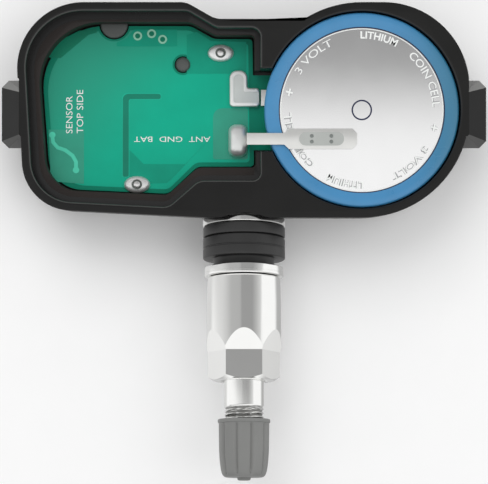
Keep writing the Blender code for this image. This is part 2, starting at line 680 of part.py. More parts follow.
def make_core():
    """Valve core screwed into the stem's bore: body, sprung pin, its spring and the seal on its foot."""
    brass = material("core_brass", BRASS, 0.3, 1.0)
    body_top = tip - 0.4
    body_low = tip - 5.4
    outer = BORE_RADIUS - FIT_GAP
    throat = 0.42
    add_object("core_body", turned([
        (throat, body_low), (outer - 0.2, body_low), (outer, body_low + 0.4), (outer, body_top), (0.9, body_top),
        (0.9, body_low + 1.0), (throat, body_low + 1.0),
    ], 24), brass, stem_frame)
    plug_low = body_low - 1.5
    seal_top = body_low - 0.1
    pin_top = tip + 0.1
    collar = body_top - 0.7
    add_object("core_pin", turned([
        (0.0, plug_low), (0.85, plug_low), (0.85, plug_low + 0.6), (0.25, plug_low + 0.6), (0.25, collar - 0.35),
        (0.68, collar - 0.35), (0.68, collar), (0.25, collar), (0.25, pin_top), (0.0, pin_top),
    ], 16), brass, stem_frame)
    add_object("core_seal", turned([
        (0.35, plug_low + 0.7), (1.0, plug_low + 0.7), (1.0, seal_top), (0.35, seal_top),
    ], 20), material("core_rubber", RUBBER, 0.7), stem_frame)
    turns = 5
    low = body_low + 1.15
    high = collar - 0.5
    path = []
    for step in range(turns * 10 + 1):
        angle = 2 * math.pi * step / 10
        path.append(Vector((0.52 * math.cos(angle), 0.52 * math.sin(angle), low + (high - low) * step / (turns * 10))))
    add_object("core_spring", swept(path, 0.08, 5), material("spring_steel", STEEL, 0.3, 1.0), stem_frame)


def make_cap():
    """Ribbed plastic cap over the stem's thread, with a round seal in its end."""
    segments = 60
    per_rib = segments // CAP_RIBS
    bore = STEM_RADIUS + RUNNING_GAP
    seal_low = tip + 0.6
    seal_high = seal_low + 0.5
    rim_end = cap_start + 0.5
    end = seal_high + FIT_GAP + CAP_WALL
    middle = (rim_end + end) / 2

    def ribbed(radius, height, step):
        grooved = rim_end < height < end and radius > bore + 0.1 and step % per_rib == 0
        return radius - 0.18 if grooved else radius

    cap = turned([
        (bore, cap_start), (CAP_RADIUS + 0.08, cap_start), (CAP_RADIUS + 0.08, rim_end - 0.05), (CAP_RADIUS, rim_end),
        (CAP_RADIUS, rim_end + 0.1), (CAP_RADIUS - 0.07, middle), (CAP_END_RADIUS + 0.1, end - 1.0),
        (CAP_END_RADIUS - 0.15, end - 0.3), (CAP_END_RADIUS - 0.5, end - 0.02), (CAP_END_RADIUS - 0.65, end),
        (0.9, end), (0.8, end + 0.4), (0.0, end + 0.4), (0.0, seal_high + FIT_GAP), (bore, seal_high + FIT_GAP),
    ], segments, ribbed)
    add_object("valve_cap", cap, material("cap_plastic", CAP_GREY, 0.5), stem_frame)
    ring_outer = bore - 0.1
    add_object("cap_seal", turned([
        (1.0, seal_low), (ring_outer, seal_low), (ring_outer, seal_high), (1.0, seal_high),
    ], 28), material("seal_rubber", RUBBER, 0.7), stem_frame)


clear_scene()
stem_frame = add_empty("stem_frame", (0.0, front_y, STEM_AXIS_HEIGHT), (math.pi / 2 - STEM_TILT, 0.0, 0.0))
make_housing()
make_board()
make_antenna()
make_tabs(make_solder())
make_components()
make_cell()
make_stem()
make_rubber()
make_nut()
make_core()
make_cap()
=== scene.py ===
"""Looks of the tire pressure monitor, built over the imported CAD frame.

Lengths are millimetres and each mesh is scaled to metres as it is made.
The housing lies on its closed back with its open face up, +Z. The stem points to -Y.
"""
import math

import bmesh
import bpy
from mathutils import Matrix, Vector


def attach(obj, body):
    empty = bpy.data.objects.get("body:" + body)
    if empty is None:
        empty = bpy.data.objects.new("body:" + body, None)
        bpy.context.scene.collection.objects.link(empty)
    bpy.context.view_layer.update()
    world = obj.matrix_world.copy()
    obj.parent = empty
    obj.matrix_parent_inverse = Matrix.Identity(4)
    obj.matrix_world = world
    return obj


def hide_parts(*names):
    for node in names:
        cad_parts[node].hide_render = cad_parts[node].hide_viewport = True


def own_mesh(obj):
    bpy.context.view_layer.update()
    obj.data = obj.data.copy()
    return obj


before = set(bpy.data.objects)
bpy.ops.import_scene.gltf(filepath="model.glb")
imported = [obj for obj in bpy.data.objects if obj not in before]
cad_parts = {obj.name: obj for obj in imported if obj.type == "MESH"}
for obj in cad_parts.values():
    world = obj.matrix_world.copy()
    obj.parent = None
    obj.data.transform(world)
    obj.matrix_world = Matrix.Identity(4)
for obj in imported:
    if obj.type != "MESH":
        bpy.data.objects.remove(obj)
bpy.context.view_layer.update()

MM = 0.001

# Clearances
FIT_GAP = 0.15          # between pieces that are seated in or on each other
STACK_GAP = 0.10        # between the pieces stacked along the stem
BOARD_GAP = 0.20        # around the board's edge and under its face
RUNNING_GAP = 0.20      # between pieces that turn or slide on each other

# Coin cell
CELL_DIAMETER = 24.5
CELL_HEIGHT = 5.0
SLEEVE_WALL = 0.25
SLEEVE_LIP = 1.6
CAN_WALL = 0.30
CELL_CAP_RADIUS = 10.4

# Housing
HOUSING_HALF_LENGTH = 28.9
HOUSING_HEIGHT = 11.3
WALL = 1.15
FLOOR = 1.4
BACK_EDGE = 1.3         # bevel around the underside
WAIST_DROP = 2.15       # how far the waist lies inside the two lobes' back edge
SEAT_WIDTH = 0.6        # ledge that the board's edge lies on
LEDGE_DEPTH = 3.2       # from the open face down to the ledge around the board
BLOCK_DEPTH = 4.75      # solid plastic in front of the board, where the stem is moulded in
LUG_REACH = 2.65        # how far the end lugs stand out
LUG_LENGTH = 8.8

# Board
BOARD_THICKNESS = 1.0
COMPONENT_SPACE = 2.7   # height under the board for its components
TONGUE_HALF_WIDTH = 4.9
PEG_RADIUS = 0.95
BOSS_RADIUS = 1.8
PORT_RADIUS = 0.9

# Valve stem, with stations along its axis measured from the housing's front wall
STEM_TILT = math.radians(9.5)
STEM_AXIS_HEIGHT = 5.5
DOME_RADIUS = 8.2
COLLAR_RADIUS = 5.35
COLLAR_END = 1.2
RING_LENGTH = 1.4
GROMMET_LENGTH = 2.7
GROMMET_NECK_RADIUS = 4.0
GROMMET_NECK_LENGTH = 1.0
WASHER_RADIUS = 5.13
WASHER_THICKNESS = 1.25
SHANK_RADIUS = 2.6
NUT_THREAD_RADIUS = 3.1
NUT_SLEEVE_RADIUS = 4.8
NUT_SLEEVE_LENGTH = 9.7
HEX_FLAT_RADIUS = 4.02
HEX_LENGTH = 3.7
HEX_RAMP = 2.7          # length of the slopes that lead from the sleeve onto the hexagon
STEM_RADIUS = 2.55
PLAIN_LENGTH = 3.1      # smooth stem between the nut and the cap's thread
THREAD_PITCH = 0.53
THREAD_DEPTH = 0.25
THREAD_TURNS = 14
BORE_RADIUS = 1.45
AIRWAY_RADIUS = 0.8
CAP_RADIUS = 3.3
CAP_END_RADIUS = 2.9
CAP_WALL = 0.6
CAP_RIBS = 10

# Derived sizes
can_radius = CELL_DIAMETER / 2
sleeve_radius = can_radius + SLEEVE_WALL
cell_pocket_radius = sleeve_radius + FIT_GAP
lobe_radius = cell_pocket_radius + WALL
cell_x = HOUSING_HALF_LENGTH - lobe_radius
front_y = -lobe_radius
ledge_z = HOUSING_HEIGHT - LEDGE_DEPTH
board_bottom = FLOOR + COMPONENT_SPACE + BOARD_GAP
board_top = board_bottom + BOARD_THICKNESS
cell_bottom = board_top + 0.4
cell_top = cell_bottom + CELL_HEIGHT
divider_x = cell_x - cell_pocket_radius - 0.35   # right side of the board's pocket
block_y = front_y + BLOCK_DEPTH
ring_start = COLLAR_END + STACK_GAP
grommet_start = ring_start + RING_LENGTH
neck_start = grommet_start + STACK_GAP + GROMMET_LENGTH
washer_start = neck_start + GROMMET_NECK_LENGTH + STACK_GAP
nut_start = washer_start + WASHER_THICKNESS + STACK_GAP
hex_start = nut_start + NUT_SLEEVE_LENGTH
nut_end = hex_start + HEX_LENGTH
thread_start = nut_end + PLAIN_LENGTH
cap_start = thread_start + 3.5 * THREAD_PITCH
tip = thread_start + THREAD_TURNS * THREAD_PITCH


def rounded(corners, steps=16):
    """Round each (x, y, radius) corner of a polygon with an arc."""
    points = []
    count = len(corners)
    for index, (x, y, radius) in enumerate(corners):
        corner = Vector((x, y))
        before = Vector(corners[index - 1][:2]) - corner
        after = Vector(corners[(index + 1) % count][:2]) - corner
        half_angle = before.angle(after) / 2
        reach = radius / math.tan(half_angle)
        if radius <= 0 or reach < 0.01:
            points.append(corner)
            continue
        start = corner + before.normalized() * reach
        end = corner + after.normalized() * reach
        bisector = (before.normalized() + after.normalized()).normalized()
        centre = corner + bisector * (radius / math.sin(half_angle))
        turn = math.pi - 2 * half_angle
        pieces = max(2, round(steps * turn / (math.pi / 2)))
        first = start - centre
        sweep = first.angle_signed(end - centre)
        for part in range(pieces + 1):
            angle = -sweep * part / pieces
            spun = Vector((
                first.x * math.cos(angle) - first.y * math.sin(angle),
                first.x * math.sin(angle) + first.y * math.cos(angle),
            ))
            points.append(centre + spun)
    return points


def circle(x, y, radius, count):
    turns = [2 * math.pi * index / count for index in range(count)]
    return [Vector((x + radius * math.cos(turn), y + radius * math.sin(turn))) for turn in turns]


def path_of(*corners):
    """Outline from plain (x, y) corners."""
    return [Vector(corner) for corner in corners]


def rectangle(left, front, right, back):
    return path_of((left, front), (right, front), (right, back), (left, back))


def skin(mesh_data, rings):
    """Faces between rings with equal counts of points, and over both ends."""
    count = len(rings[0])
    for lower, upper in zip(rings, rings[1:]):
        for index in range(count):
            following = (index + 1) % count
            mesh_data.faces.new((lower[index], lower[following], upper[following], upper[index]))
    mesh_data.faces.new(rings[0])
    mesh_data.faces.new(rings[-1])
    return mesh_data


def loft(layers):
    """Closed solid through a stack of outlines: [(points, z), ...] with equal counts of points."""
    mesh_data = bmesh.new()
    return skin(mesh_data, [[mesh_data.verts.new((p.x, p.y, z)) for p in points] for points, z in layers])


def prism(points, bottom, top):
    return loft([(points, bottom), (points, top)])


def block(low, high):
    """Box between two corners."""
    return prism(rectangle(low[0], low[1], high[0], high[1]), low[2], high[2])


def turned(profile, segments=32, shape=None):
    """Solid of revolution about Z from a closed (radius, height) profile.

    shape(radius, height, step) may change the radius around the turn.
    """
    mesh_data = bmesh.new()
    rings = []
    for radius, height in profile:
        if radius < 1e-6:
            rings.append([mesh_data.verts.new((0.0, 0.0, height))])
            continue
        ring = []
        for step in range(segments):
            angle = 2 * math.pi * step / segments
            reach = shape(radius, height, step) if shape else radius
            ring.append(mesh_data.verts.new((reach * math.cos(angle), reach * math.sin(angle), height)))
        rings.append(ring)
    for first, second in zip(rings, rings[1:] + rings[:1]):
        if len(first) == 1 and len(second) == 1:
            continue
        for step in range(segments):
            following = (step + 1) % segments
            corners = []
            for ring, order in ((first, (step, following)), (second, (following, step))):
                corners += [ring[0]] if len(ring) == 1 else [ring[order[0]], ring[order[1]]]
            mesh_data.faces.new(corners)
    return mesh_data


def flat_ring(inner, outer, low, high, segments):
    return turned([(inner, low), (outer, low), (outer, high), (inner, high)], segments)


def shift(mesh_data, x, y, z=0.0):
    mesh_data.transform(Matrix.Translation((x, y, z)))
    return mesh_data


def swept(path, radius, sides):
    """Round bar along a path, with flat ends."""
    mesh_data = bmesh.new()
    rings = []
    normal = None
    for index, point in enumerate(path):
        ahead = path[min(index + 1, len(path) - 1)] - path[max(index - 1, 0)]
        ahead.normalize()
        if normal is None:
            normal = ahead.orthogonal().normalized()
        normal = (normal - ahead * normal.dot(ahead)).normalized()
        side = ahead.cross(normal)
        ring = []
        for step in range(sides):
            angle = 2 * math.pi * step / sides
            offset = normal * math.cos(angle) + side * math.sin(angle)
            ring.append(mesh_data.verts.new(point + offset * radius))
        rings.append(ring)
    return skin(mesh_data, rings)


# --- Outlines

left_top_x = -HOUSING_HALF_LENGTH - 0.6
left_bottom_x = -HOUSING_HALF_LENGTH + 0.75
waist_y = lobe_radius - WAIST_DROP
lobe_turn = math.acos(waist_y / lobe_radius)     # where the cell lobe leaves the waist line
waist_right_x = cell_x - lobe_radius * math.sin(lobe_turn)
lobe_corner_x = waist_right_x + WAIST_DROP / math.tan(lobe_turn)
waist_left_x = divider_x - 5.75
board_back_y = lobe_radius - WALL - 1.1          # back edge of the pocket that the board lies in


def housing_outline():
    return rounded([
        (left_top_x, lobe_radius, 8.5),
        (waist_left_x - WAIST_DROP * 1.75, lobe_radius, 3.0),
        (waist_left_x, waist_y, 3.0),
        (waist_right_x, waist_y, 0.8),
        (lobe_corner_x, lobe_radius, lobe_radius),
        (HOUSING_HALF_LENGTH, lobe_radius, lobe_radius * 0.8),
        (HOUSING_HALF_LENGTH, front_y, lobe_radius - 0.1),
        (divider_x - 7.0, front_y, 12.0),
        (left_bottom_x, front_y + 1.2, 6.4),
    ], 24)


def pocket_outline():
    """Board pocket at the open face, one wall inside the housing's outline."""
    return rounded([
        (left_top_x + WALL, lobe_radius - WALL, 7.3),
        (waist_left_x - WAIST_DROP * 1.65, lobe_radius - WALL, 2.0),
        (waist_left_x + 0.1, waist_y - WALL, 2.0),
        (divider_x, waist_y - WALL, 1.2),
        (divider_x, block_y, 1.0),
        (divider_x - 7.9, block_y, 2.0),
        (divider_x - 11.8, front_y + 1.35, 2.0),
        (left_bottom_x + WALL, front_y + 2.25, 5.4),
    ])


def board_outline(margin):
    """Lower part of the board pocket, which the board's edge follows at a margin."""
    return rounded([
        (left_top_x + WALL + 1.3 + margin, board_back_y - margin, 8.0),
        (waist_left_x - WAIST_DROP * 1.55, board_back_y - margin, 2.0),
        (waist_left_x - 0.1 - margin, waist_y - WALL - 0.65 - margin, 2.0),
        (divider_x - 0.8 - margin, waist_y - WALL - 0.65 - margin, 0.5),
        (divider_x - 0.6 - margin, block_y + 1.8 + margin, 0.5),
        (divider_x - 8.1 - margin * 0.4, block_y + 1.8 + margin, 1.5),
        (divider_x - 12.0, front_y + 3.0 + margin, 1.5),
        (left_bottom_x + WALL + 1.5 + margin, front_y + 3.7 + margin, 4.5),
    ])


# --- Housing

peg_x = divider_x - 10.1
peg_y = 6.3
boss_x = divider_x - 19.1
boss_y = board_back_y
port_x = divider_x - 15.0
port_y = 2.0
TOP = HOUSING_HEIGHT
LUG_SHOULDER = 6.6      # height of a lug's furthest edge
LUG_INSET = 0.1         # how far inside the housing's end a lug's slope meets the open face
RIM_EDGE = 0.22         # rounding of the rims of the cell's pocket and of the slot beside it
EJECTOR_MARKS = ((-24.0, 8.0), (-24.0, -8.5), (-3.5, -9.5), (-3.0, 9.0), (15.0, 10.5), (15.0, -9.0),
                 (25.0, 0.0))


def lug(side):
    """Sloped grip lug on an end of the housing: low outside, level with the open face inside."""
    end = HOUSING_HALF_LENGTH
    inner = end - 1.0
    half = LUG_LENGTH / 2
    layers = []
    for outer, low, high, z in (
        (end + LUG_REACH - 0.9, -half + 0.3, half - 0.8, 2.0),
        (end + LUG_REACH, -half - 0.3, half - 0.3, LUG_SHOULDER),
        (end - LUG_INSET, -half + 1.0, half - 1.9, TOP),
    ):
        corner = 0.25 * (outer - inner)
        points = path_of((inner, low), (outer - corner, low), (outer, low + corner),
                         (outer, high - corner), (outer - corner, high), (inner, high))
        layers.append(([Vector((side * p.x, p.y)) for p in points], z))
    return loft(layers)


def lug_window(side):
    """Space over a lug's slopes, taken out of the housing's rim."""
    half = LUG_LENGTH / 2
    left, right = sorted(side * (HOUSING_HALF_LENGTH + reach) for reach in (-LUG_INSET, LUG_REACH + 2.0))
    return block((left, -half - 0.3, LUG_SHOULDER), (right, half - 0.3, TOP + 1.0))


# --- Board and what it carries

antenna_upper = (divider_x - 5.15, 7.8)
antenna_lower = (divider_x - 16.1, -9.4)
PIN_RADIUS = 0.4
plus_pad = (divider_x - 2.95, -3.72)
minus_pad = (divider_x - 2.85, 3.1)

dome_centre = DOME_RADIUS - 1.76
ROOT_RADIUS = 2.2
ROOT_FLANGE_RADIUS = 3.0
ROOT_LENGTH = 3.5


def dome(radius, gap, start, end, steps):
    """Points of a ball seat around the stem's axis, between two radii."""
    ball = radius + gap
    points = []
    for step in range(steps + 1):
        reach = start + (end - start) * step / steps
        points.append((reach, dome_centre - math.sqrt(ball * ball - reach * reach)))
    return points


def stem_seat():
    """Space in the housing's front block for the stem's root and the ball seat of its collar."""
    gap = FIT_GAP
    flange = ROOT_FLANGE_RADIUS + gap
    neck = ROOT_RADIUS + gap
    profile = [(0.0, -ROOT_LENGTH - gap), (flange, -ROOT_LENGTH - gap), (flange, -ROOT_LENGTH + 1.0 + gap),
               (neck, -ROOT_LENGTH + 1.0 + gap)]
    profile += dome(DOME_RADIUS, gap * 1.8, neck, COLLAR_RADIUS + 1.9, 8)
    profile += [(COLLAR_RADIUS + 1.9, 4.0), (0.0, 4.0)]
    return turned(profile, 40)


# --- Making pieces

TOP_EDGE = 0.28         # rounding of the housing's upper edges
SEAM = 0.02             # depth of printed and plated layers
stem_foot = Vector((0.0, front_y, STEM_AXIS_HEIGHT)) * MM
STEM = Matrix.Translation(stem_foot) @ Matrix.Rotation(math.pi / 2 - STEM_TILT, 4, "X")


def smooth(mesh, angle=35):
    mesh.shade_smooth()
    mesh.set_sharp_from_angle(angle=math.radians(angle))


def loose(name, mesh_data, *looks):
    """Object in metres from a shape drawn in millimetres."""
    bmesh.ops.recalc_face_normals(mesh_data, faces=mesh_data.faces)
    mesh_data.transform(Matrix.Scale(MM, 4))
    mesh = bpy.data.meshes.new(name)
    mesh_data.to_mesh(mesh)
    mesh_data.free()
    for look in looks:
        mesh.materials.append(look)
    smooth(mesh)
    item = bpy.data.objects.new(name, mesh)
    bpy.context.scene.collection.objects.link(item)
    return item


def settle(item, body, stands_for=(), place=None):
    """Put a finished piece in the frame: where it is, what it moves with and what it stands for."""
    if place is not None:
        item.matrix_world = place
    item.data.transform(item.matrix_world)
    item.matrix_world = Matrix.Identity(4)
    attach(item, body)
    if stands_for:
        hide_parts(*stands_for)
    return item


def piece(name, mesh_data, look, stands_for=(), body="sensor", place=None):
    return settle(loose(name, mesh_data, look), body, stands_for, place)


def cutter(name, mesh_data, *looks):
    """Step for carve that takes a shape out of a piece."""
    return loose(name, mesh_data, *looks), "DIFFERENCE"


def added(name, mesh_data, *looks):
    """Step for carve that joins a shape to a piece."""
    return loose(name, mesh_data, *looks), "UNION"


def carve(item, steps):
    """Apply (tool, operation) booleans in order, and take the tools away."""
    for tool, operation in steps:
        step = item.modifiers.new(tool.name, "BOOLEAN")
        step.operation = operation
        step.solver = "EXACT"
        step.material_mode = "TRANSFER"
        step.object = tool
    bpy.context.view_layer.update()
    graph = bpy.context.evaluated_depsgraph_get()
    mesh = bpy.data.meshes.new_from_object(item.evaluated_get(graph))
    item.modifiers.clear()
    item.data = mesh
    for tool, _ in steps:
        bpy.data.objects.remove(tool, do_unlink=True)
    smooth(mesh)
    return item


def grown(points, distance):
    """Outline moved outwards by a distance."""
    count = len(points)
    area = sum(points[i - 1].x * points[i].y - points[i].x * points[i - 1].y for i in range(count))
    side = 1.0 if area > 0 else -1.0
    moved = []
    for index, point in enumerate(points):
        before = (point - points[index - 1]).normalized()
        after = (points[(index + 1) % count] - point).normalized()
        along = (before + after).normalized()
        outward = Vector((along.y, -along.x)) * side
        lean = max(0.5, outward.dot(Vector((after.y, -after.x)) * side))
        moved.append(point + outward * (distance / lean))
    return moved


def quarter(steps):
    """Pairs (sine, cosine) through a quarter turn."""
    turns = [math.pi / 2 * i / steps for i in range(steps + 1)]
    return [(math.sin(turn), math.cos(turn)) for turn in turns]


def round_edges(radius, low, high, edge):
    """Profile points of a ring's two outer edges, each rounded."""
    first = [(radius - edge * (1 - rise), low + edge * (1 - run)) for rise, run in quarter(4)]
    last = [(radius - edge * (1 - run), high - edge + edge * rise) for rise, run in quarter(4)]
    return first, last


def hollow(points, bottom, top, edge=TOP_EDGE):
    """Cutter with upright walls that opens with a rounded edge at the top."""
    layers = [(points, bottom)]
    for rise, run in quarter(4):
        layers.append((grown(points, edge * (1 - run)), top - edge + edge * rise))
    layers.append((grown(points, edge), top + 1.0))
    return loft(layers)


def plate(points, bottom, top, edge):
    """Prism with rounded upper edges."""
    layers = [(points, bottom)]
    for rise, run in quarter(3):
        layers.append((grown(points, -edge * (1 - run)), top - edge + edge * rise))
    return loft(layers)


def mound(points, bottom, height, power=0.55, layers=9):
    """Domed drop of solder over an outline."""
    middle = sum(points, Vector((0.0, 0.0))) / len(points)
    stack = [(points, bottom)]
    for step in range(1, layers + 1):
        angle = math.pi / 2 * step / layers
        share = max(0.05, math.cos(angle) ** power)
        stack.append(([middle + (p - middle) * share for p in points], bottom + height * math.sin(angle)))
    return loft(stack)


def merged(parts):
    """Several shapes as one."""
    whole = bmesh.new()
    for part in parts:
        mesh = bpy.data.meshes.new("part")
        part.to_mesh(mesh)
        part.free()
        whole.from_mesh(mesh)
        bpy.data.meshes.remove(mesh)
    return whole


def lettering(words, width, height, weight=0.0):
    """Raised words, starting at the origin, of that width and letter height."""
    curve = bpy.data.curves.new("words", "FONT")
    curve.body = words
    curve.extrude = 0.02
    curve.offset = weight
    curve.resolution_u = 3
    item = bpy.data.objects.new("words", curve)
    bpy.context.scene.collection.objects.link(item)
    bpy.context.view_layer.update()
    mesh = bpy.data.meshes.new_from_object(item.evaluated_get(bpy.context.evaluated_depsgraph_get()))
    bpy.data.objects.remove(item, do_unlink=True)
    drawn = bmesh.new()
    drawn.from_mesh(mesh)
    xs = [v.co.x for v in drawn.verts]
    ys = [v.co.y for v in drawn.verts]
    drawn.transform(Matrix.Translation((-min(xs), -min(ys), 0.0)))
    drawn.transform(Matrix.Diagonal((width / (max(xs) - min(xs)), height / (max(ys) - min(ys)), 1.0, 1.0)))
    return drawn


def line_of(words, x, y, z, turn, width, height):
    """Words on a straight line from (x, y), turned by an angle in degrees."""
    drawn = lettering(words, width, height)
    drawn.transform(Matrix.Translation((x, y, z)) @ Matrix.Rotation(math.radians(turn), 4, "Z"))
    return drawn


def arc_of(words, start, end, radius, height, z, weight):
    """Words clockwise around the cell's centre, with their tops outwards."""
    sweep = math.radians(start - end)
    drawn = lettering(words, sweep * radius, height, weight)
    for vert in drawn.verts:
        angle = math.radians(start) - vert.co.x / radius
        reach = radius + vert.co.y
        vert.co = Vector((cell_x + reach * math.cos(angle), reach * math.sin(angle), z + vert.co.z))
    return drawn


# --- Finishes

def feed(tree, node, values):
    """Set a node's inputs. A value that is a socket is linked."""
    for name, value in values.items():
        if isinstance(value, bpy.types.NodeSocket):
            tree.links.new(value, node.inputs[name])
        else:
            node.inputs[name].default_value = value


def noise(tree, place, scale, detail):
    speckle = tree.nodes.new("ShaderNodeTexNoise")
    feed(tree, speckle, {"Vector": place, "Scale": scale, "Detail": detail})
    return speckle.outputs["Fac"]


def ease(tree, value, start, end):
    """Share that goes smoothly from 0 to 1 between two values."""
    share = tree.nodes.new("ShaderNodeMapRange")
    share.interpolation_type = "SMOOTHSTEP"
    feed(tree, share, {"Value": value, "From Min": start, "From Max": end})
    return share.outputs["Result"]


def mix(tree, share, first, second):
    """Colour between two colours."""
    blend = tree.nodes.new("ShaderNodeMix")
    blend.data_type = "RGBA"
    feed(tree, blend, {"Factor": share, "A": first, "B": second})
    return blend.outputs["Result"]


def finish(name, colour, roughness, metallic=0.0, specular=0.5, mottle=0.08, grain=900.0,
           bump=0.05, coat=0.0):
    """Procedural finish: slightly uneven colour and roughness with a fine surface grain."""
    made = bpy.data.materials.new(name)
    made.use_nodes = True
    tree = made.node_tree
    place = tree.nodes.new("ShaderNodeTexCoord").outputs["Object"]
    wide = noise(tree, place, grain / 4, 3.0)
    ramp = tree.nodes.new("ShaderNodeValToRGB")
    low, high = ramp.color_ramp.elements
    low.position = 0.3
    low.color = (*[c * (1 - mottle) for c in colour], 1.0)
    high.position = 0.7
    high.color = (*[min(1.0, c * (1 + mottle)) for c in colour], 1.0)
    feed(tree, ramp, {"Fac": wide})
    spread = tree.nodes.new("ShaderNodeMapRange")
    feed(tree, spread, {"Value": wide, "To Min": roughness * 0.9, "To Max": min(1.0, roughness * 1.1)})
    relief = tree.nodes.new("ShaderNodeBump")
    fine = noise(tree, place, grain * 6, 2.0)
    feed(tree, relief, {"Strength": bump, "Distance": 0.00005, "Height": fine})
    feed(tree, tree.nodes["Principled BSDF"], {
        "Metallic": metallic, "Specular IOR Level": specular, "Coat Weight": coat, "Coat Roughness": 0.15,
        "Base Color": ramp.outputs["Color"], "Roughness": spread.outputs["Result"],
        "Normal": relief.outputs["Normal"],
    })
    return made


matte_black = finish("moulded black", (0.0115, 0.0115, 0.0112), 0.45, specular=0.2, bump=0.25)
gloss_black = finish("moulded black wall", (0.010, 0.010, 0.010), 0.2, specular=0.35)
# Painted highlight: a lighter grey on the rounded rim of the board's pocket.
edge_painted_highlight = finish("painted highlight on the pocket's edge", (0.060, 0.060, 0.058), 0.4, specular=0.3)
ledge_brown = finish("moulded ledge", (0.026, 0.0208, 0.0190), 0.45, specular=0.25)
# The lugs are the same black moulding as the housing. These three greys are painted light and shade: a
# painted highlight on the upper back facets, a painted half light on the upper front facets and painted shade
# on the outer faces.
facet_light = finish("lug facet in light", (0.20, 0.20, 0.195), 0.5, specular=0.3)
lug_face_painted_shade = finish("lug face", (0.008, 0.008, 0.008), 0.45, specular=0.12)
facet_dim = finish("lug facet in half light", (0.075, 0.075, 0.073), 0.5, specular=0.3)
post_grey = finish("moulded post", (0.085, 0.092, 0.088), 0.35, specular=0.4)
solder_mask = finish("solder mask over copper", (0.002, 0.420, 0.270), 0.3, specular=0.2, mottle=0.05)
# Darker mask over bare laminate at the board's edge, which also serves as painted shade along the housing's
# walls.
mask_edge_and_shade = finish("solder mask at the edge, with painted shade", (0.002, 0.225, 0.138), 0.4, specular=0.15)
mask_dark = finish("solder mask over laminate", (0.003, 0.325, 0.210), 0.4, specular=0.2)
mask_corner = finish("solder mask in the corner", (0.002, 0.200, 0.115), 0.4, specular=0.2)
# Greyer, darker mask: dull mask near the tab, and painted shade in the board's lower left corner.
mask_dull_and_shade = finish("solder mask, dull, and painted shade", (0.028, 0.335, 0.225), 0.45, specular=0.4)
mask_light = finish("solder mask over a trace", (0.075, 0.640, 0.440), 0.35, specular=0.4)
# Painted highlight: a lighter band of mask drawn round the groove's edge.
groove_painted_highlight = finish("painted highlight beside the groove", (0.012, 0.465, 0.310), 0.35, specular=0.2)
groove_green = finish("bare laminate groove", (0.003, 0.215, 0.138), 0.5, specular=0.3)
via_ring = finish("plated via", (0.300, 0.640, 0.470), 0.35, metallic=0.3)
# White ink for the printing, also used for the painted highlight ring on the cell's face.
white_ink_and_highlight = finish("white ink and painted highlight", (0.86, 0.88, 0.86), 0.5, mottle=0.03)
# Painted shadow: grey round the cell's white letters.
lettering_painted_shadow = finish("painted shadow around the lettering", (0.36, 0.36, 0.37), 0.5, mottle=0.03)
solder_finish = finish("frosted solder", (0.86, 0.87, 0.86), 0.33, metallic=0.65, mottle=0.05,
                       grain=1500.0, bump=0.35)
solder_dull = finish("solder, dull", (0.62, 0.65, 0.63), 0.5, metallic=0.3, mottle=0.06,
                     grain=1500.0, bump=0.3)
solder_dark = finish("solder in shade", (0.30, 0.33, 0.31), 0.5, metallic=0.3, mottle=0.2,
                     grain=2500.0, bump=0.3)
pin_finish = finish("tinned pin", (0.80, 0.80, 0.79), 0.3, metallic=0.9)
tab_finish = finish("nickel strip", (0.78, 0.78, 0.76), 0.32, metallic=0.7, mottle=0.04)
plate_finish = finish("pressed oval", (0.52, 0.54, 0.52), 0.4, metallic=0.5)
weld_finish = finish("weld spot", (0.24, 0.26, 0.25), 0.45, metallic=0.5)
cell_finish = finish("cell steel", (0.90, 0.90, 0.90), 0.16, metallic=1.0, mottle=0.02, bump=0.02)
# Dark navy: the printed centre ring, and painted shadow at the inner edge of the film's lip.
navy_print_and_shadow = finish("dark printed line and painted shadow", (0.012, 0.018, 0.060), 0.4)
sleeve_blue = finish("shrink film blue", (0.050, 0.240, 0.475), 0.28, mottle=0.05, coat=0.3)
aluminium = finish("turned aluminium", (0.94, 0.94, 0.925), 0.13, metallic=1.0, mottle=0.015, bump=0.03)
rubber = finish("moulded rubber", (0.023, 0.023, 0.023), 0.42, bump=0.15)
cap_grey = finish("grey cap plastic", (0.212, 0.214, 0.208), 0.4, specular=0.4, mottle=0.04, bump=0.1)
# Painted shade: darker metal for the faces deep in the thread's grooves.
thread_shade = finish("painted shade in the thread root", (0.42, 0.42, 0.41), 0.35, metallic=1.0)
brass = finish("core brass", (0.72, 0.52, 0.22), 0.3, metallic=1.0)
copper_wire = finish("copper wire", (0.72, 0.36, 0.18), 0.35, metallic=1.0)


def painted_shade_along(made, direction, start, end, colour):
    """Paint shade onto a finish: blend it into a second colour along a direction, between two distances in
    millimetres.
    """
    tree = made.node_tree
    colour_input = tree.nodes["Principled BSDF"].inputs["Base Color"]
    reach = tree.nodes.new("ShaderNodeVectorMath")
    reach.operation = "DOT_PRODUCT"
    reach.inputs[1].default_value = (*Vector(direction).normalized(), 0.0)
    tree.links.new(tree.nodes.new("ShaderNodeTexCoord").outputs["Object"], reach.inputs[0])
    share = ease(tree, reach.outputs["Value"], start * MM, end * MM)
    blend = mix(tree, share, colour_input.links[0].from_socket, (*colour, 1.0))
    tree.links.new(blend, colour_input)


# Painted shade: the mask turns greyer and darker towards the board's upper left, and the film darker towards
# its outer edge on the +X side.
painted_shade_along(solder_mask, (-0.7, 0.7), 6.0, 21.0, (0.024, 0.330, 0.220))
painted_shade_along(sleeve_blue, (1.0, 0.1), 19.0, 28.0, (0.035, 0.180, 0.300))


# --- Housing


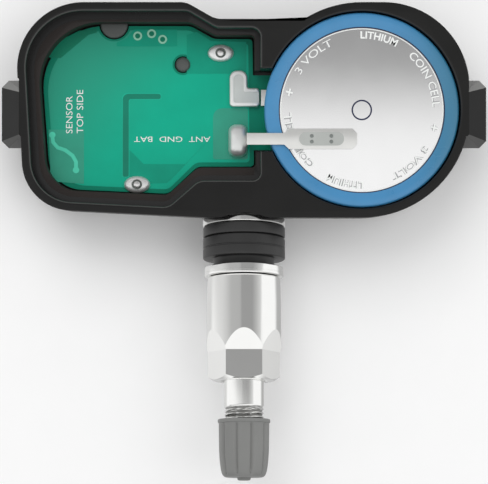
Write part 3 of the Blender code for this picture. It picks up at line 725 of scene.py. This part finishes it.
def make_shell():
    outline = housing_outline()
    layers = []
    for rise, run in quarter(5):
        layers.append((grown(outline, -BACK_EDGE * (1 - rise)), BACK_EDGE * (1 - run)))
    for rise, run in quarter(4):
        layers.append((grown(outline, -TOP_EDGE * (1 - run)), TOP - TOP_EDGE + TOP_EDGE * rise))
    shell = loose("housing_shell", loft(layers), matte_black)
    steps = []
    for side, word in ((-1, "left"), (1, "right")):
        steps.append(cutter("lug_window_" + word, lug_window(side), gloss_black))
        wedge = loose("lug_" + word, lug(side), matte_black, facet_light, facet_dim, lug_face_painted_shade)
        # Painted light and shade on the lug's faces: outer faces take the painted shade, upper back facets
        # the painted highlight, upper front facets the painted half light.
        for face in wedge.data.polygons:
            if side * face.normal.x > 0.4 and abs(face.normal.y) < 0.2:
                face.material_index = 3
            elif face.normal.y > 0.3 and face.normal.z > 0.05:
                face.material_index = 1
            elif face.normal.y < -0.3 and face.normal.z > 0.05:
                face.material_index = 2
        steps.append((wedge, "UNION"))
    opening = hollow(pocket_outline(), ledge_z, TOP)
    pocket = loose("board_pocket", opening, gloss_black, ledge_brown, edge_painted_highlight)
    # The pocket's rounded rim takes the painted highlight.
    for face in pocket.data.polygons:
        if 0.3 < abs(face.normal.z) < 0.97:
            face.material_index = 2
    seat_low = board_bottom - BOARD_GAP
    cell_hole = circle(cell_x, 0.0, cell_pocket_radius, 128)
    cell_room = circle(cell_x, 0.0, cell_pocket_radius - 1.5, 64)
    half = TONGUE_HALF_WIDTH + 0.4
    slot = rectangle(divider_x - 2.0, -half, cell_x - cell_pocket_radius + 2.0, half)
    seat = loose("stem_seat", stem_seat(), gloss_black)
    seat.matrix_world = STEM
    port = circle(port_x, port_y, PORT_RADIUS, 32)
    steps += [
        (pocket, "DIFFERENCE"),
        cutter("ledge_band", prism(grown(pocket_outline(), -0.75), ledge_z - 0.03, TOP + 1.0), ledge_brown),
        cutter("board_seat", hollow(board_outline(0.0), seat_low, ledge_z, 0.2), ledge_brown),
        cutter("component_room", prism(board_outline(SEAT_WIDTH), FLOOR, TOP + 1.0), gloss_black),
        cutter("cell_pocket", hollow(cell_hole, seat_low, TOP, RIM_EDGE), gloss_black),
        cutter("cell_room", prism(cell_room, FLOOR, TOP + 1.0), gloss_black),
        cutter("tongue_slot", hollow(slot, seat_low, TOP, RIM_EDGE), gloss_black),
        (seat, "DIFFERENCE"),
        cutter("pressure_port", prism(port, -1.0, FLOOR + 1.0), gloss_black),
    ]
    for x, y in EJECTOR_MARKS:
        steps.append(cutter("ejector_mark", prism(circle(x, y, 1.0, 28), -1.0, 0.06), matte_black))
    foot = FLOOR - 0.5
    peg = turned([
        (0.0, foot), (PEG_RADIUS + 0.7, foot), (PEG_RADIUS + 0.7, seat_low), (PEG_RADIUS, seat_low),
        (PEG_RADIUS, board_top + 0.15), (PEG_RADIUS - 0.12, board_top + 0.35),
        (PEG_RADIUS - 0.35, board_top + 0.46), (0.0, board_top + 0.5),
    ], 40)
    steps.append(added("board_peg", shift(peg, peg_x, peg_y), post_grey))
    boss = plate(circle(boss_x, boss_y, BOSS_RADIUS, 48), foot, board_top + 0.4, 0.3)
    steps.append(added("board_boss", boss, post_grey))
    settle(carve(shell, steps), "sensor", ["housing"])


# --- Board

def ribbon(corners, width):
    """Outline of a trace of even width along a line of points."""
    points = path_of(*corners)
    left = []
    right = []
    for index, point in enumerate(points):
        ahead = (points[min(index + 1, len(points) - 1)] - points[max(index - 1, 0)]).normalized()
        side = Vector((-ahead.y, ahead.x)) * (width / 2)
        left.append(point + side)
        right.append(point - side)
    return left + right[::-1]


def make_board():
    low = board_bottom - 1.0
    high = board_top + 1.0
    face = board_top
    board = loose("board_plate", prism(board_outline(BOARD_GAP), board_bottom, face), mask_edge_and_shade)
    half = TONGUE_HALF_WIDTH
    tongue = block((divider_x - 2.0, -half, board_bottom), (cell_x, half, face))
    disc = prism(circle(cell_x, 0.0, cell_pocket_radius - 0.4, 96), board_bottom, face)
    steps = [added("tongue", tongue, mask_edge_and_shade), added("disc", disc, mask_edge_and_shade)]
    holes = [(peg_x, peg_y, PEG_RADIUS + FIT_GAP), (boss_x, boss_y, BOSS_RADIUS + FIT_GAP)]
    holes += [(x, y, PIN_RADIUS + FIT_GAP) for x, y in (antenna_upper, antenna_lower)]

    def drilled(name, margin):
        return [cutter(name, prism(circle(x, y, radius + margin, 40), low, high), mask_edge_and_shade)
                for x, y, radius in holes]

    settle(carve(board, steps + drilled("hole", 0.0)), "sensor", ["circuit_board"])
    # The bright pour stops short of the board's edge, so the darker edge mask shows as painted shade along
    # the walls.
    pour = loose("copper_pour", prism(board_outline(0.75), face - 0.01, face + SEAM), solder_mask)
    settle(carve(pour, drilled("clear", 0.25)), "sensor")

    def printed(name, look, parts):
        piece(name, merged(parts), look)

    def layer(name, look, level, *outlines):
        low_face = face + SEAM * level
        printed(name, look, [prism(points, low_face, face + SEAM * (level + 1)) for points in outlines])

    def groove(margin):
        left = -15.87 - margin
        inner = -15.1 + margin
        end = -10.9 + margin
        return rounded([
            (left, -8.37 - margin, 0.2), (inner, -8.37 - margin, 0.2), (inner, 1.8 - margin, 0.3),
            (end, 1.8 - margin, 0.25), (end, 2.48 + margin, 0.3), (left, 2.48 + margin, 0.7),
        ], 4)

    layer("mask_corner", mask_corner, 1, path_of(
        (-25.75, 7.27), (-23.99, 7.17), (-20.37, 10.2), (-19.3, 10.5), (-19.3, board_back_y - 0.6),
        (-21.6, board_back_y - 0.8), (-24.3, 9.4)))
    layer("mask_dark", mask_dark, 1,
          path_of((-7.5, 10.2), (-7.5, 5.12), (0.3, 5.12), (0.3, 9.3), (-4.3, 9.4), (-6.2, 10.6)),
          path_of((-16.66, 8.68), (-8.74, 8.68), (-8.74, 10.9), (-14.4, 10.9), (-15.3, 9.8), (-16.66, 9.2)),
          path_of((-15.0, -4.85), (-13.14, -6.71), (-7.67, -6.71), (-4.54, -3.48), (-9.3, -8.5),
                  (-10.1, -9.2), (-13.0, -9.3), (-15.0, -8.37)))
    # The second outline, in the lower left corner beside the wall, is painted shade.
    layer("mask_dull_and_shade", mask_dull_and_shade, 1,
          rounded([(-4.05, -6.1, 0.3), (0.5, -6.1, 0.3), (0.5, 0.6, 0.3), (-4.05, 0.6, 1.2)], 4),
          path_of((-25.3, -9.0), (-20.96, -9.3), (-20.96, -2.2), (-25.6, -2.2)))
    layer("laminate_groove", groove_green, 2, groove(0.0))
    # Painted highlight round the groove's edge.
    layer("groove_rim_painted_highlight", groove_painted_highlight, 1, groove(0.1))
    trace = [(-25.1, -2.99), (-25.0, -3.87), (-24.38, -4.56), (-23.4, -4.89), (-22.43, -5.63),
             (-22.0, -6.41), (-22.0, -7.39)]
    layer("mask_trace", mask_light, 2, ribbon(trace, 0.5))
    layer("trace_ends", mask_light, 2.5, circle(-25.1, -2.9, 0.42, 24), circle(-22.0, -7.5, 0.42, 24))
    places = ((-13.92, 10.06), (-12.10, 10.36), (-10.66, 9.61))
    printed("plated_vias", via_ring,
            [shift(flat_ring(0.34, 0.58, face, face + SEAM * 3.5, 28), x, y) for x, y in places])
    printed("via_holes", mask_corner,
            [prism(circle(x, y, 0.36, 24), face, face + SEAM * 2.5) for x, y in places])
    ink = face + SEAM * 2.6
    printed("board_lettering", white_ink_and_highlight, [
        line_of("SENSOR", -22.45, -2.7, ink, 90, 4.9, 0.86),
        line_of("TOP SIDE", -21.05, -2.7, ink, 90, 5.7, 0.86),
        line_of("ANT  GND  BAT", -4.4, -3.12, ink, 180, 10.0, 0.70),
    ])


def make_solder():
    base = board_top + 0.08
    for word, (x, y) in (("upper", antenna_upper), ("lower", antenna_lower)):
        outline = circle(x, y, 1.0, 40)
        drop = [Vector((x + (p.x - x) * 1.72, y + (p.y - y) * 1.12)) for p in outline]
        name = "solder_antenna_" + word
        joint = loose(name + "_joint", mound(drop, base, 0.62, 0.5), solder_finish, solder_dark)
        hole = PIN_RADIUS + 0.05
        rim = base + 0.72
        crater = turned([(0.0, base + 0.3), (hole, base + 0.3), (0.78, rim), (0.0, rim)], 32)
        carve(joint, [cutter("crater", shift(crater, x, y), solder_dark)])
        settle(joint, "sensor", [name])
        tinned = PIN_RADIUS + 0.02
        pin = turned([(0.0, base), (tinned, base), (tinned, board_top + 0.78),
                      (tinned - 0.1, board_top + 0.85), (0.0, board_top + 0.86)], 28)
        piece("antenna_end_" + word, shift(pin, x, y), pin_finish)
    x, y = plus_pad
    bean = rounded([
        (x - 1.2, y - 2.1, 1.0), (x + 1.1, y - 2.1, 0.9), (x + 1.5, y, 1.2), (x + 1.1, y + 2.2, 0.9),
        (x - 1.2, y + 2.2, 1.0),
    ], 7)
    drop = mound(bean, base, 1.37, 0.6)
    piece("solder_positive_joint", drop, solder_finish, ["solder_positive"])
    x, y = minus_pad
    angle = rounded([
        (x - 1.15, y - 2.35, 0.5), (x + 2.75, y - 2.35, 0.4), (x + 2.75, y + 0.1, 0.4),
        (x + 1.2, y + 0.1, 0.3), (x + 1.2, y + 2.4, 1.0), (x - 1.15, y + 2.4, 1.0),
    ], 6)
    layers = [(angle, base)]
    layers += [(grown(angle, -0.24 * (1 - run)), base + 0.4 + 0.3 * rise) for rise, run in quarter(5)]
    joint = loose("solder_negative_joint", loft(layers), solder_finish, solder_dull)
    hollowed = rounded([
        (x - 0.62, y - 1.82, 0.3), (x + 2.75, y - 1.82, 0.05), (x + 2.75, y - 0.4, 0.05),
        (x + 0.72, y - 0.4, 0.2), (x + 0.72, y + 1.85, 0.6), (x - 0.62, y + 1.85, 0.6),
    ], 6)
    carve(joint, [cutter("dish", prism(hollowed, base + 0.6, base + 1.2), solder_dull)])
    settle(joint, "sensor", ["solder_negative"])


def make_tabs():
    low = cell_top + SLEEVE_WALL + 0.1
    high = low + 0.2
    y = plus_pad[1]
    left = plus_pad[0] + 1.2
    neck = cell_x - can_radius + 2.3
    right = cell_x - 0.6
    thin = 0.75             # half width of the strip's neck
    broad = 1.32            # half width of the strip over the cell
    outline = path_of(
        (left, y - thin), (neck, y - thin), (neck + 0.6, y - broad), (right - 0.6, y - broad),
        (right, y - 0.7), (right, y + 0.7), (right - 0.6, y + broad), (neck + 0.6, y + broad),
        (neck, y + thin), (left, y + thin))
    strip = loose("positive_strip", plate(outline, low, high, 0.06), tab_finish)
    foot = block((left, y - thin, board_top + 0.3), (left + 0.2, y + thin, high - 0.02))
    carve(strip, [added("foot", foot, tab_finish)])
    settle(strip, "sensor", ["positive_tab"])
    middle = (neck + right) / 2 + 0.1
    corners = rectangle(middle - 3.0, y - 1.0, middle + 3.0, y + 1.0)
    oval = rounded([(corner.x, corner.y, 0.97) for corner in corners], 8)
    piece("pressed_oval_rim", plate(oval, high - 0.02, high + 0.03, 0.03), tab_finish)
    piece("pressed_oval", prism(grown(oval, -0.13), high, high + 0.04), plate_finish)
    spots = []
    for x in (middle - 1.25, middle + 1.25):
        for across in (-0.36, 0.36):
            spots.append(mound(circle(x, y + across, 0.25, 20), high + 0.035, 0.05, 0.6, 4))
    piece("weld_spots", merged(spots), weld_finish)
    x, y = minus_pad
    under = rectangle(x + 2.95, y - 2.2, cell_x - 2.0, y - 0.1)
    under_strip = plate(under, board_top + 0.1, board_top + 0.3, 0.05)
    piece("negative_strip", under_strip, tab_finish, ["negative_tab"])


# --- Coin cell

def make_cell():
    def at_cell(mesh_data):
        return shift(mesh_data, cell_x, 0.0, cell_bottom)

    roof = CELL_HEIGHT
    inner = can_radius - CAN_WALL
    lip = 0.9
    mouth = CELL_CAP_RADIUS + 0.75
    shoulder = [(can_radius - 0.4 * (1 - run), roof - 0.4 + 0.4 * rise) for rise, run in quarter(5)]
    can = turned([
        (0.0, roof - CAN_WALL), (inner, roof - CAN_WALL), (inner, lip + CAN_WALL), (mouth, lip * 0.55),
        (mouth, lip * 0.2), (can_radius - 0.35, 0.15), (can_radius, lip), *shoulder, (0.0, roof),
    ], 128)
    piece("cell_body", at_cell(can), cell_finish, ["cell_can"])
    skin = can_radius + 0.06
    bend = [(sleeve_radius - 0.42 * (1 - run), roof - 0.2 + 0.42 * rise) for rise, run in quarter(6)]
    film_in = sleeve_radius - SLEEVE_LIP - SLEEVE_WALL
    film = turned([
        (skin, roof - 0.1), (skin, 0.6), (sleeve_radius, 0.6), *bend, (film_in + 0.1, roof + 0.22),
        (film_in, roof + 0.16), (film_in, roof + 0.06), (skin - 0.3, roof + 0.06),
    ], 128)
    piece("cell_film", at_cell(film), sleeve_blue, ["cell_sleeve"])
    face = roof + 0.005

    def line(radius, width, height):
        return at_cell(flat_ring(radius, radius + width, face, face + height, 128))

    # Painted shadow: a dark ring in the gap at the inner edge of the film's lip.
    piece("film_edge_painted_shadow", line(film_in - 0.13, 0.12, 0.1), navy_print_and_shadow)
    # Painted highlight: a thin white ring standing for light on the can's edge inside the film's lip.
    piece("cell_edge_painted_highlight", line(film_in - 0.3, 0.12, 0.03), white_ink_and_highlight)
    piece("centre_mark", line(1.12, 0.2, 0.02), navy_print_and_shadow)
    z = cell_bottom + roof
    markings = (("LITHIUM", 91, 62, 9.15, 0.95, 0.025), ("COIN CELL", 49, 2, 9.05, 1.0, 0.01),
                ("+", -11, -16.5, 9.1, 0.9, 0.03), ("3 VOLT", -30, -66, 9.05, 0.95, 0.0))
    # A bolder grey copy of the words under the white ones is painted shadow round the letters.
    for name, look, level, weight in (
        ("cell_lettering_painted_shadow", lettering_painted_shadow, 0.0, 0.05), ("cell_lettering", white_ink_and_highlight, 0.03, 0.0),
    ):
        drawn = []
        for turn in (0, 180):
            for words, start, end, radius, height, extra in markings:
                drawn.append(arc_of(words, start + turn, end + turn, radius, height, z + level,
                                    weight + extra))
        piece(name, merged(drawn), look)


# --- Valve stem

def make_stem():
    count = 96
    profile = [(0.0, -ROOT_LENGTH), (ROOT_FLANGE_RADIUS, -ROOT_LENGTH),
               (ROOT_FLANGE_RADIUS, -ROOT_LENGTH + 1.0), (ROOT_RADIUS, -ROOT_LENGTH + 1.0)]
    profile += dome(DOME_RADIUS, 0.0, ROOT_RADIUS, COLLAR_RADIUS - 0.1, 14)
    profile += [
        (COLLAR_RADIUS, dome(DOME_RADIUS, 0.0, ROOT_RADIUS, COLLAR_RADIUS, 1)[-1][1] + 0.12),
        (COLLAR_RADIUS, COLLAR_END - 0.12), (COLLAR_RADIUS - 0.12, COLLAR_END), (SHANK_RADIUS, COLLAR_END),
        (SHANK_RADIUS, nut_start + 0.3), (NUT_THREAD_RADIUS, nut_start + 0.8),
        (NUT_THREAD_RADIUS, hex_start - 0.6), (STEM_RADIUS, hex_start), (STEM_RADIUS, thread_start),
    ]
    rows = 8
    for row in range(1, THREAD_TURNS * rows + 1):
        profile.append((STEM_RADIUS, thread_start + row * THREAD_PITCH / rows))
    core_depth = tip - 8.0
    profile += [
        (STEM_RADIUS - 0.4, tip + 0.3), (BORE_RADIUS + 0.1, tip + 0.3), (BORE_RADIUS, tip + 0.2),
        (BORE_RADIUS, core_depth), (AIRWAY_RADIUS, core_depth - 0.8), (AIRWAY_RADIUS, 0.2), (0.0, 0.2),
    ]

    def threaded(radius, height, step):
        if radius < STEM_RADIUS - 0.01 or height <= thread_start or height > tip:
            return radius
        phase = (height - thread_start) / THREAD_PITCH - step / count
        wave = abs(2 * (phase % 1.0) - 1)
        lead = min(1.0, (height - thread_start) / THREAD_PITCH)
        return radius - THREAD_DEPTH * lead * (1 - wave)

    stem = loose("stem_body", turned(profile, count, threaded), aluminium, thread_shade)
    # Faces deep in the thread's grooves take the painted shade.
    for face in stem.data.polygons:
        centre = face.center / MM
        depth = STEM_RADIUS - math.hypot(centre.x, centre.y)
        if thread_start < centre.z < tip and THREAD_DEPTH * 0.5 < depth < THREAD_DEPTH * 1.2:
            face.material_index = 1
    stem.matrix_world = STEM
    outlet = prism(circle(0.0, 0.0, 0.3, 20), 0.0, COLLAR_RADIUS + 2.0)
    outlet.transform(Matrix.Rotation(math.radians(90), 4, "X"))
    outlet.transform(Matrix.Translation((0.0, 0.0, 0.75)))
    tool = loose("air_outlet", outlet, aluminium)
    tool.matrix_world = STEM
    carve(stem, [(tool, "DIFFERENCE")])
    settle(stem, "sensor", ["valve_stem"])


def make_rubber():
    hole = SHANK_RADIUS + FIT_GAP
    outer = COLLAR_RADIUS
    edge = 0.2
    ring_end = ring_start + RING_LENGTH
    first, last = round_edges(outer, ring_start, ring_end, edge)
    piece("backing_ring_moulding", turned([(hole, ring_start), *first, *last, (hole, ring_end)], 96),
          rubber, ["backing_ring"], place=STEM)
    start = grommet_start + STACK_GAP
    neck_end = neck_start + GROMMET_NECK_LENGTH
    neck = GROMMET_NECK_RADIUS
    first, last = round_edges(outer, start, neck_start, edge)
    middle = (start + neck_start) / 2
    sunk = outer - 0.08     # floor of the groove around the grommet
    grommet = turned([
        (hole, start), *first, (outer, middle - 0.12), (sunk, middle - 0.05), (sunk, middle + 0.05),
        (outer, middle + 0.12), *last, (neck + 0.1, neck_start), (neck, neck_start + 0.1),
        (neck - 0.15, neck_end - 0.1), (neck - 0.25, neck_end), (hole, neck_end),
    ], 96)
    piece("rim_grommet_moulding", grommet, rubber, ["rim_grommet"], place=STEM)


def make_nut():
    hole = NUT_THREAD_RADIUS + RUNNING_GAP
    end = washer_start + WASHER_THICKNESS
    first, last = round_edges(WASHER_RADIUS, washer_start, end, 0.14)
    sunk = WASHER_RADIUS - 0.05     # floor of the washer's groove
    washer = turned([
        (hole, washer_start), *first, (WASHER_RADIUS, end - 0.5), (sunk, end - 0.46), (sunk, end - 0.4),
        (WASHER_RADIUS, end - 0.36), *last, (hole, end),
    ], 120)
    piece("washer_ring", washer, aluminium, ["nut_washer"], "washer", STEM)
    sleeve = NUT_SLEEVE_RADIUS
    bore = STEM_RADIUS + RUNNING_GAP
    nut = loose("nut_body", turned([
        (hole, nut_start), (sleeve - 0.25, nut_start), (sleeve - 0.13, nut_start + 0.06),
        (sleeve - 0.08, nut_start + 0.2), (sleeve, nut_start + 3.0), (sleeve, nut_end - 0.62),
        (HEX_FLAT_RADIUS + 0.15, nut_end - 0.18), (HEX_FLAT_RADIUS - 0.05, nut_end - 0.04),
        (HEX_FLAT_RADIUS - 0.25, nut_end), (bore + 0.3, nut_end), (bore, nut_end - 0.3),
        (bore, nut_end - 1.2), (hole, nut_end - 1.6),
    ], 144), aluminium)
    nut.matrix_world = STEM
    corner = 1.0 / math.cos(math.radians(30))
    wide = HEX_FLAT_RADIUS + (sleeve - HEX_FLAT_RADIUS) * 1.5
    stations = [(wide, nut_start - 1.0), (wide, hex_start - HEX_RAMP * 1.5), (HEX_FLAT_RADIUS, hex_start),
                (HEX_FLAT_RADIUS, nut_end + 1.0)]
    hexagon = loft([(circle(0.0, 0.0, reach * corner, 6), station) for reach, station in stations])
    trim = loose("hexagon", hexagon, aluminium)
    trim.matrix_world = STEM
    carve(nut, [(trim, "INTERSECT")])
    smooth(nut.data, 14)
    settle(nut, "nut", ["clamp_nut"])


def make_cap():
    count = 180
    bore = STEM_RADIUS + RUNNING_GAP
    seal_high = tip + 1.1
    rim_end = cap_start + 0.5
    end = seal_high + FIT_GAP + CAP_WALL
    middle = (rim_end + end) / 2
    spacing = 360 / CAP_RIBS
    groove_depth = 0.26
    groove_width = 3.4      # degrees

    def ribbed(radius, height, step):
        if radius < bore + 0.1 or height <= rim_end or height > end + 0.1:
            return radius
        angle = (360 * step / count) % spacing
        away = min(angle, spacing - angle)
        reach = min(1.0, (height - rim_end) / 0.25)
        return radius - groove_depth * reach * math.exp(-((away / groove_width) ** 2))

    wide = [(-0.02, cap_start), (0.06, cap_start + 0.06), (0.08, cap_start + 0.14), (0.08, rim_end - 0.16),
            (0.04, rim_end - 0.05), (-0.04, rim_end), (-0.04, rim_end + 0.08), (-0.02, rim_end + 0.25),
            (-0.07, middle), (-0.16, middle + 1.4)]
    narrow = [(0.1, 1.0), (-0.02, 0.55), (-0.17, 0.28), (-0.36, 0.1), (-0.52, 0.02), (-0.7, 0.0)]
    nub = [(0.95, end), (0.88, end + 0.08), (0.82, end + 0.3), (0.72, end + 0.38), (0.55, end + 0.4),
           (0.0, end + 0.4)]
    profile = [(bore + 0.15, cap_start)]
    profile += [(CAP_RADIUS + proud, height) for proud, height in wide]
    profile += [(CAP_END_RADIUS + proud, end - short) for proud, short in narrow]
    profile += nub
    profile += [(0.0, seal_high + FIT_GAP), (bore, seal_high + FIT_GAP), (bore, cap_start + 0.15)]
    shell = turned(profile, count, ribbed)
    piece("cap_shell", shell, cap_grey, ["valve_cap"], "cap", STEM)


# --- Pieces that stay as they are

def make_inner():
    """Finishes of the CAD pieces that keep their shape, and the coil spring."""
    soft = finish("seal rubber", (0.04, 0.04, 0.04), 0.7)
    looks = {
        "antenna_wire": copper_wire,
        "chip_package": finish("chip package", (0.02, 0.02, 0.022), 0.5),
        "tinned_can": finish("tinned can", (0.62, 0.62, 0.60), 0.35, metallic=1.0),
        "coil_winding": finish("coil winding", (0.65, 0.30, 0.14), 0.4, metallic=0.7, mottle=0.3,
                               grain=5000.0),
        "ceramic_body": finish("ceramic body", (0.42, 0.33, 0.23), 0.5),
        "silicone_seal": finish("silicone seal", (0.35, 0.08, 0.05), 0.65),
        "vent_film": finish("vent film", (0.85, 0.85, 0.83), 0.8),
        "cell_steel": cell_finish,
        "gasket_nylon": finish("gasket nylon", (0.80, 0.80, 0.78), 0.6),
        "cathode_pellet": finish("cathode pellet", (0.06, 0.06, 0.065), 0.8),
        "separator_film": finish("separator film", (0.84, 0.84, 0.82), 0.9),
        "lithium": finish("lithium", (0.55, 0.55, 0.56), 0.4, metallic=1.0),
        "core_brass": brass,
        "core_rubber": soft,
        "seal_rubber": soft,
    }
    for node, slot in (
        ("antenna_loop", "antenna_wire"), ("pressure_sensor", "chip_package"), ("radio_chip", "chip_package"),
        ("crystal", "tinned_can"), ("wake_up_coil", "coil_winding"), ("supply_capacitor", "ceramic_body"),
        ("tuning_capacitor", "ceramic_body"), ("matching_inductor", "tinned_can"),
        ("port_seal", "silicone_seal"), ("port_membrane", "vent_film"), ("cell_cap", "cell_steel"),
        ("cell_gasket", "gasket_nylon"), ("cell_cathode", "cathode_pellet"),
        ("cell_separator", "separator_film"), ("cell_anode", "lithium"), ("core_body", "core_brass"),
        ("core_pin", "core_brass"), ("core_seal", "core_rubber"), ("cap_seal", "seal_rubber"),
    ):
        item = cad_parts[node]
        item.data.materials.clear()
        item.data.materials.append(looks[slot])
    make_spring(finish("spring steel", (0.70, 0.70, 0.69), 0.3, metallic=1.0))


def make_spring(steel):
    """Coil round the core's pin."""
    low = tip - 5.4 + 1.15
    high = tip - 0.4 - 0.7 - 0.5
    coil_radius = 0.52
    wire_radius = 0.08
    steps = 16
    count = 5 * steps
    path = []
    for step in range(count + 1):
        angle = 2 * math.pi * step / steps
        rise = low + wire_radius + (high - low - 2 * wire_radius) * step / count
        path.append(Vector((coil_radius * math.cos(angle), coil_radius * math.sin(angle), rise)))
    wire = swept(path, wire_radius, 10)
    coil = piece("spring_coil", wire, steel, ["core_spring"], place=STEM)
    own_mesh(coil)


# --- Light, floor and camera

WHITE = (1.0, 1.0, 1.0, 1.0)
CAMERA_DISTANCE = 250.0     # above the cell's face
VIEW_WIDTH = 62.56          # seen across at the cell's face
VIEW_Y = -16.92             # middle of the view along the stem


def greys(tree, share, stops):
    """Colour ramp of greys from (position, grey) pairs."""
    ramp = tree.nodes.new("ShaderNodeValToRGB")
    elements = ramp.color_ramp.elements
    while len(elements) < len(stops):
        elements.new(0.5)
    for element, (position, grey) in zip(elements, stops):
        element.position = position
        element.color = (grey, grey, grey, 1.0)
    feed(tree, ramp, {"Fac": share})
    return ramp.outputs["Color"]


def reckon(tree, operation, *values):
    sums = tree.nodes.new("ShaderNodeMath")
    sums.operation = operation
    feed(tree, sums, dict(enumerate(values)))
    return sums.outputs["Value"]


def backdrop(tree, colour, strength=1.0):
    light = tree.nodes.new("ShaderNodeBackground")
    feed(tree, light, {"Color": colour, "Strength": strength})
    return light.outputs["Background"]


def chosen(tree, share, first, second):
    """First shader where the share is 0, second where it is 1."""
    choice = tree.nodes.new("ShaderNodeMixShader")
    feed(tree, choice, {0: share, 1: first, 2: second})
    return choice.outputs["Shader"]


def make_world():
    world = bpy.data.worlds.new("studio")
    bpy.context.scene.world = world
    world.use_nodes = True
    tree = world.node_tree
    tree.nodes.clear()
    split = tree.nodes.new("ShaderNodeSeparateXYZ")
    feed(tree, split, {"Vector": tree.nodes.new("ShaderNodeTexCoord").outputs["Generated"]})
    x, y, z = (split.outputs[axis] for axis in "XYZ")
    across = tree.nodes.new("ShaderNodeMapRange")
    feed(tree, across, {"Value": x, "From Min": -1.0})
    card = greys(tree, across.outputs["Result"], [
        (0.03, 0.69), (0.115, 0.55), (0.18, 0.46), (0.40, 0.44), (0.44, 0.33), (0.72, 0.33), (0.82, 0.48),
        (0.90, 0.66), (0.92, 1.0),
    ])
    under = greys(tree, across.outputs["Result"], [(0.35, 0.70), (0.65, 0.45)])
    studio = mix(tree, ease(tree, y, 0.0, 0.20), WHITE, card)
    whole = mix(tree, ease(tree, z, -0.35, -0.65), studio, under)
    rear = reckon(tree, "MULTIPLY", ease(tree, y, -0.40, -0.58), ease(tree, z, 0.50, 0.20))
    beside = reckon(tree, "ABSOLUTE", x)
    rear = reckon(tree, "MULTIPLY", rear, ease(tree, beside, 0.28, 0.45))
    room = mix(tree, rear, whole, (0.42, 0.42, 0.42, 1.0))
    ray = tree.nodes.new("ShaderNodeLightPath").outputs
    light = chosen(tree, ray["Is Glossy Ray"], backdrop(tree, WHITE, 0.72), backdrop(tree, room))
    straight = reckon(tree, "MAXIMUM", ray["Is Camera Ray"], ray["Is Transmission Ray"])
    seen = chosen(tree, straight, light, backdrop(tree, WHITE))
    out = tree.nodes.new("ShaderNodeOutputWorld")
    feed(tree, out, {"Surface": seen})


def lamp(name, place, aim, light_on, size):
    """Area lamp that gives a share of full daylight at the object."""
    data = bpy.data.lights.new(name, "AREA")
    data.shape = "SQUARE"
    data.size = size
    reach = (Vector(aim) - Vector(place)).length
    data.energy = light_on * math.pi * math.pi * reach * reach
    item = bpy.data.objects.new(name, data)
    item.location = place
    item.rotation_euler = (Vector(aim) - Vector(place)).to_track_quat("-Z", "Y").to_euler()
    item.visible_glossy = False
    bpy.context.scene.collection.objects.link(item)


def make_stage():
    sheet = bmesh.new()
    bmesh.ops.create_grid(sheet, x_segments=1, y_segments=1, size=1500.0)
    paper = finish("white paper", (0.97, 0.97, 0.97), 0.9, specular=0.1, mottle=0.005, bump=0.0)
    floor = loose("floor", sheet, paper)
    floor.location.z = -0.0001
    floor.visible_glossy = False
    centre = (0.0, -0.015, 0.0)
    lamp("key", (-0.15, 0.35, 0.50), centre, 0.27, 0.40)
    lamp("fill", (0.35, 0.05, 0.55), centre, 0.14, 0.45)
    view = bpy.data.cameras.new("camera")
    view.sensor_width = 36.0
    view.lens = view.sensor_width * CAMERA_DISTANCE / VIEW_WIDTH
    view.clip_start = 0.01
    view.clip_end = 10.0
    camera = bpy.data.objects.new("camera", view)
    camera.location = (0.0, VIEW_Y * MM, (cell_top + CAMERA_DISTANCE) * MM)
    bpy.context.scene.collection.objects.link(camera)
    bpy.context.scene.camera = camera
    bpy.context.scene.view_settings.view_transform = "Standard"


make_shell()
make_board()
make_solder()
make_tabs()
make_cell()
make_stem()
make_rubber()
make_nut()
make_cap()
make_inner()
make_world()
make_stage()
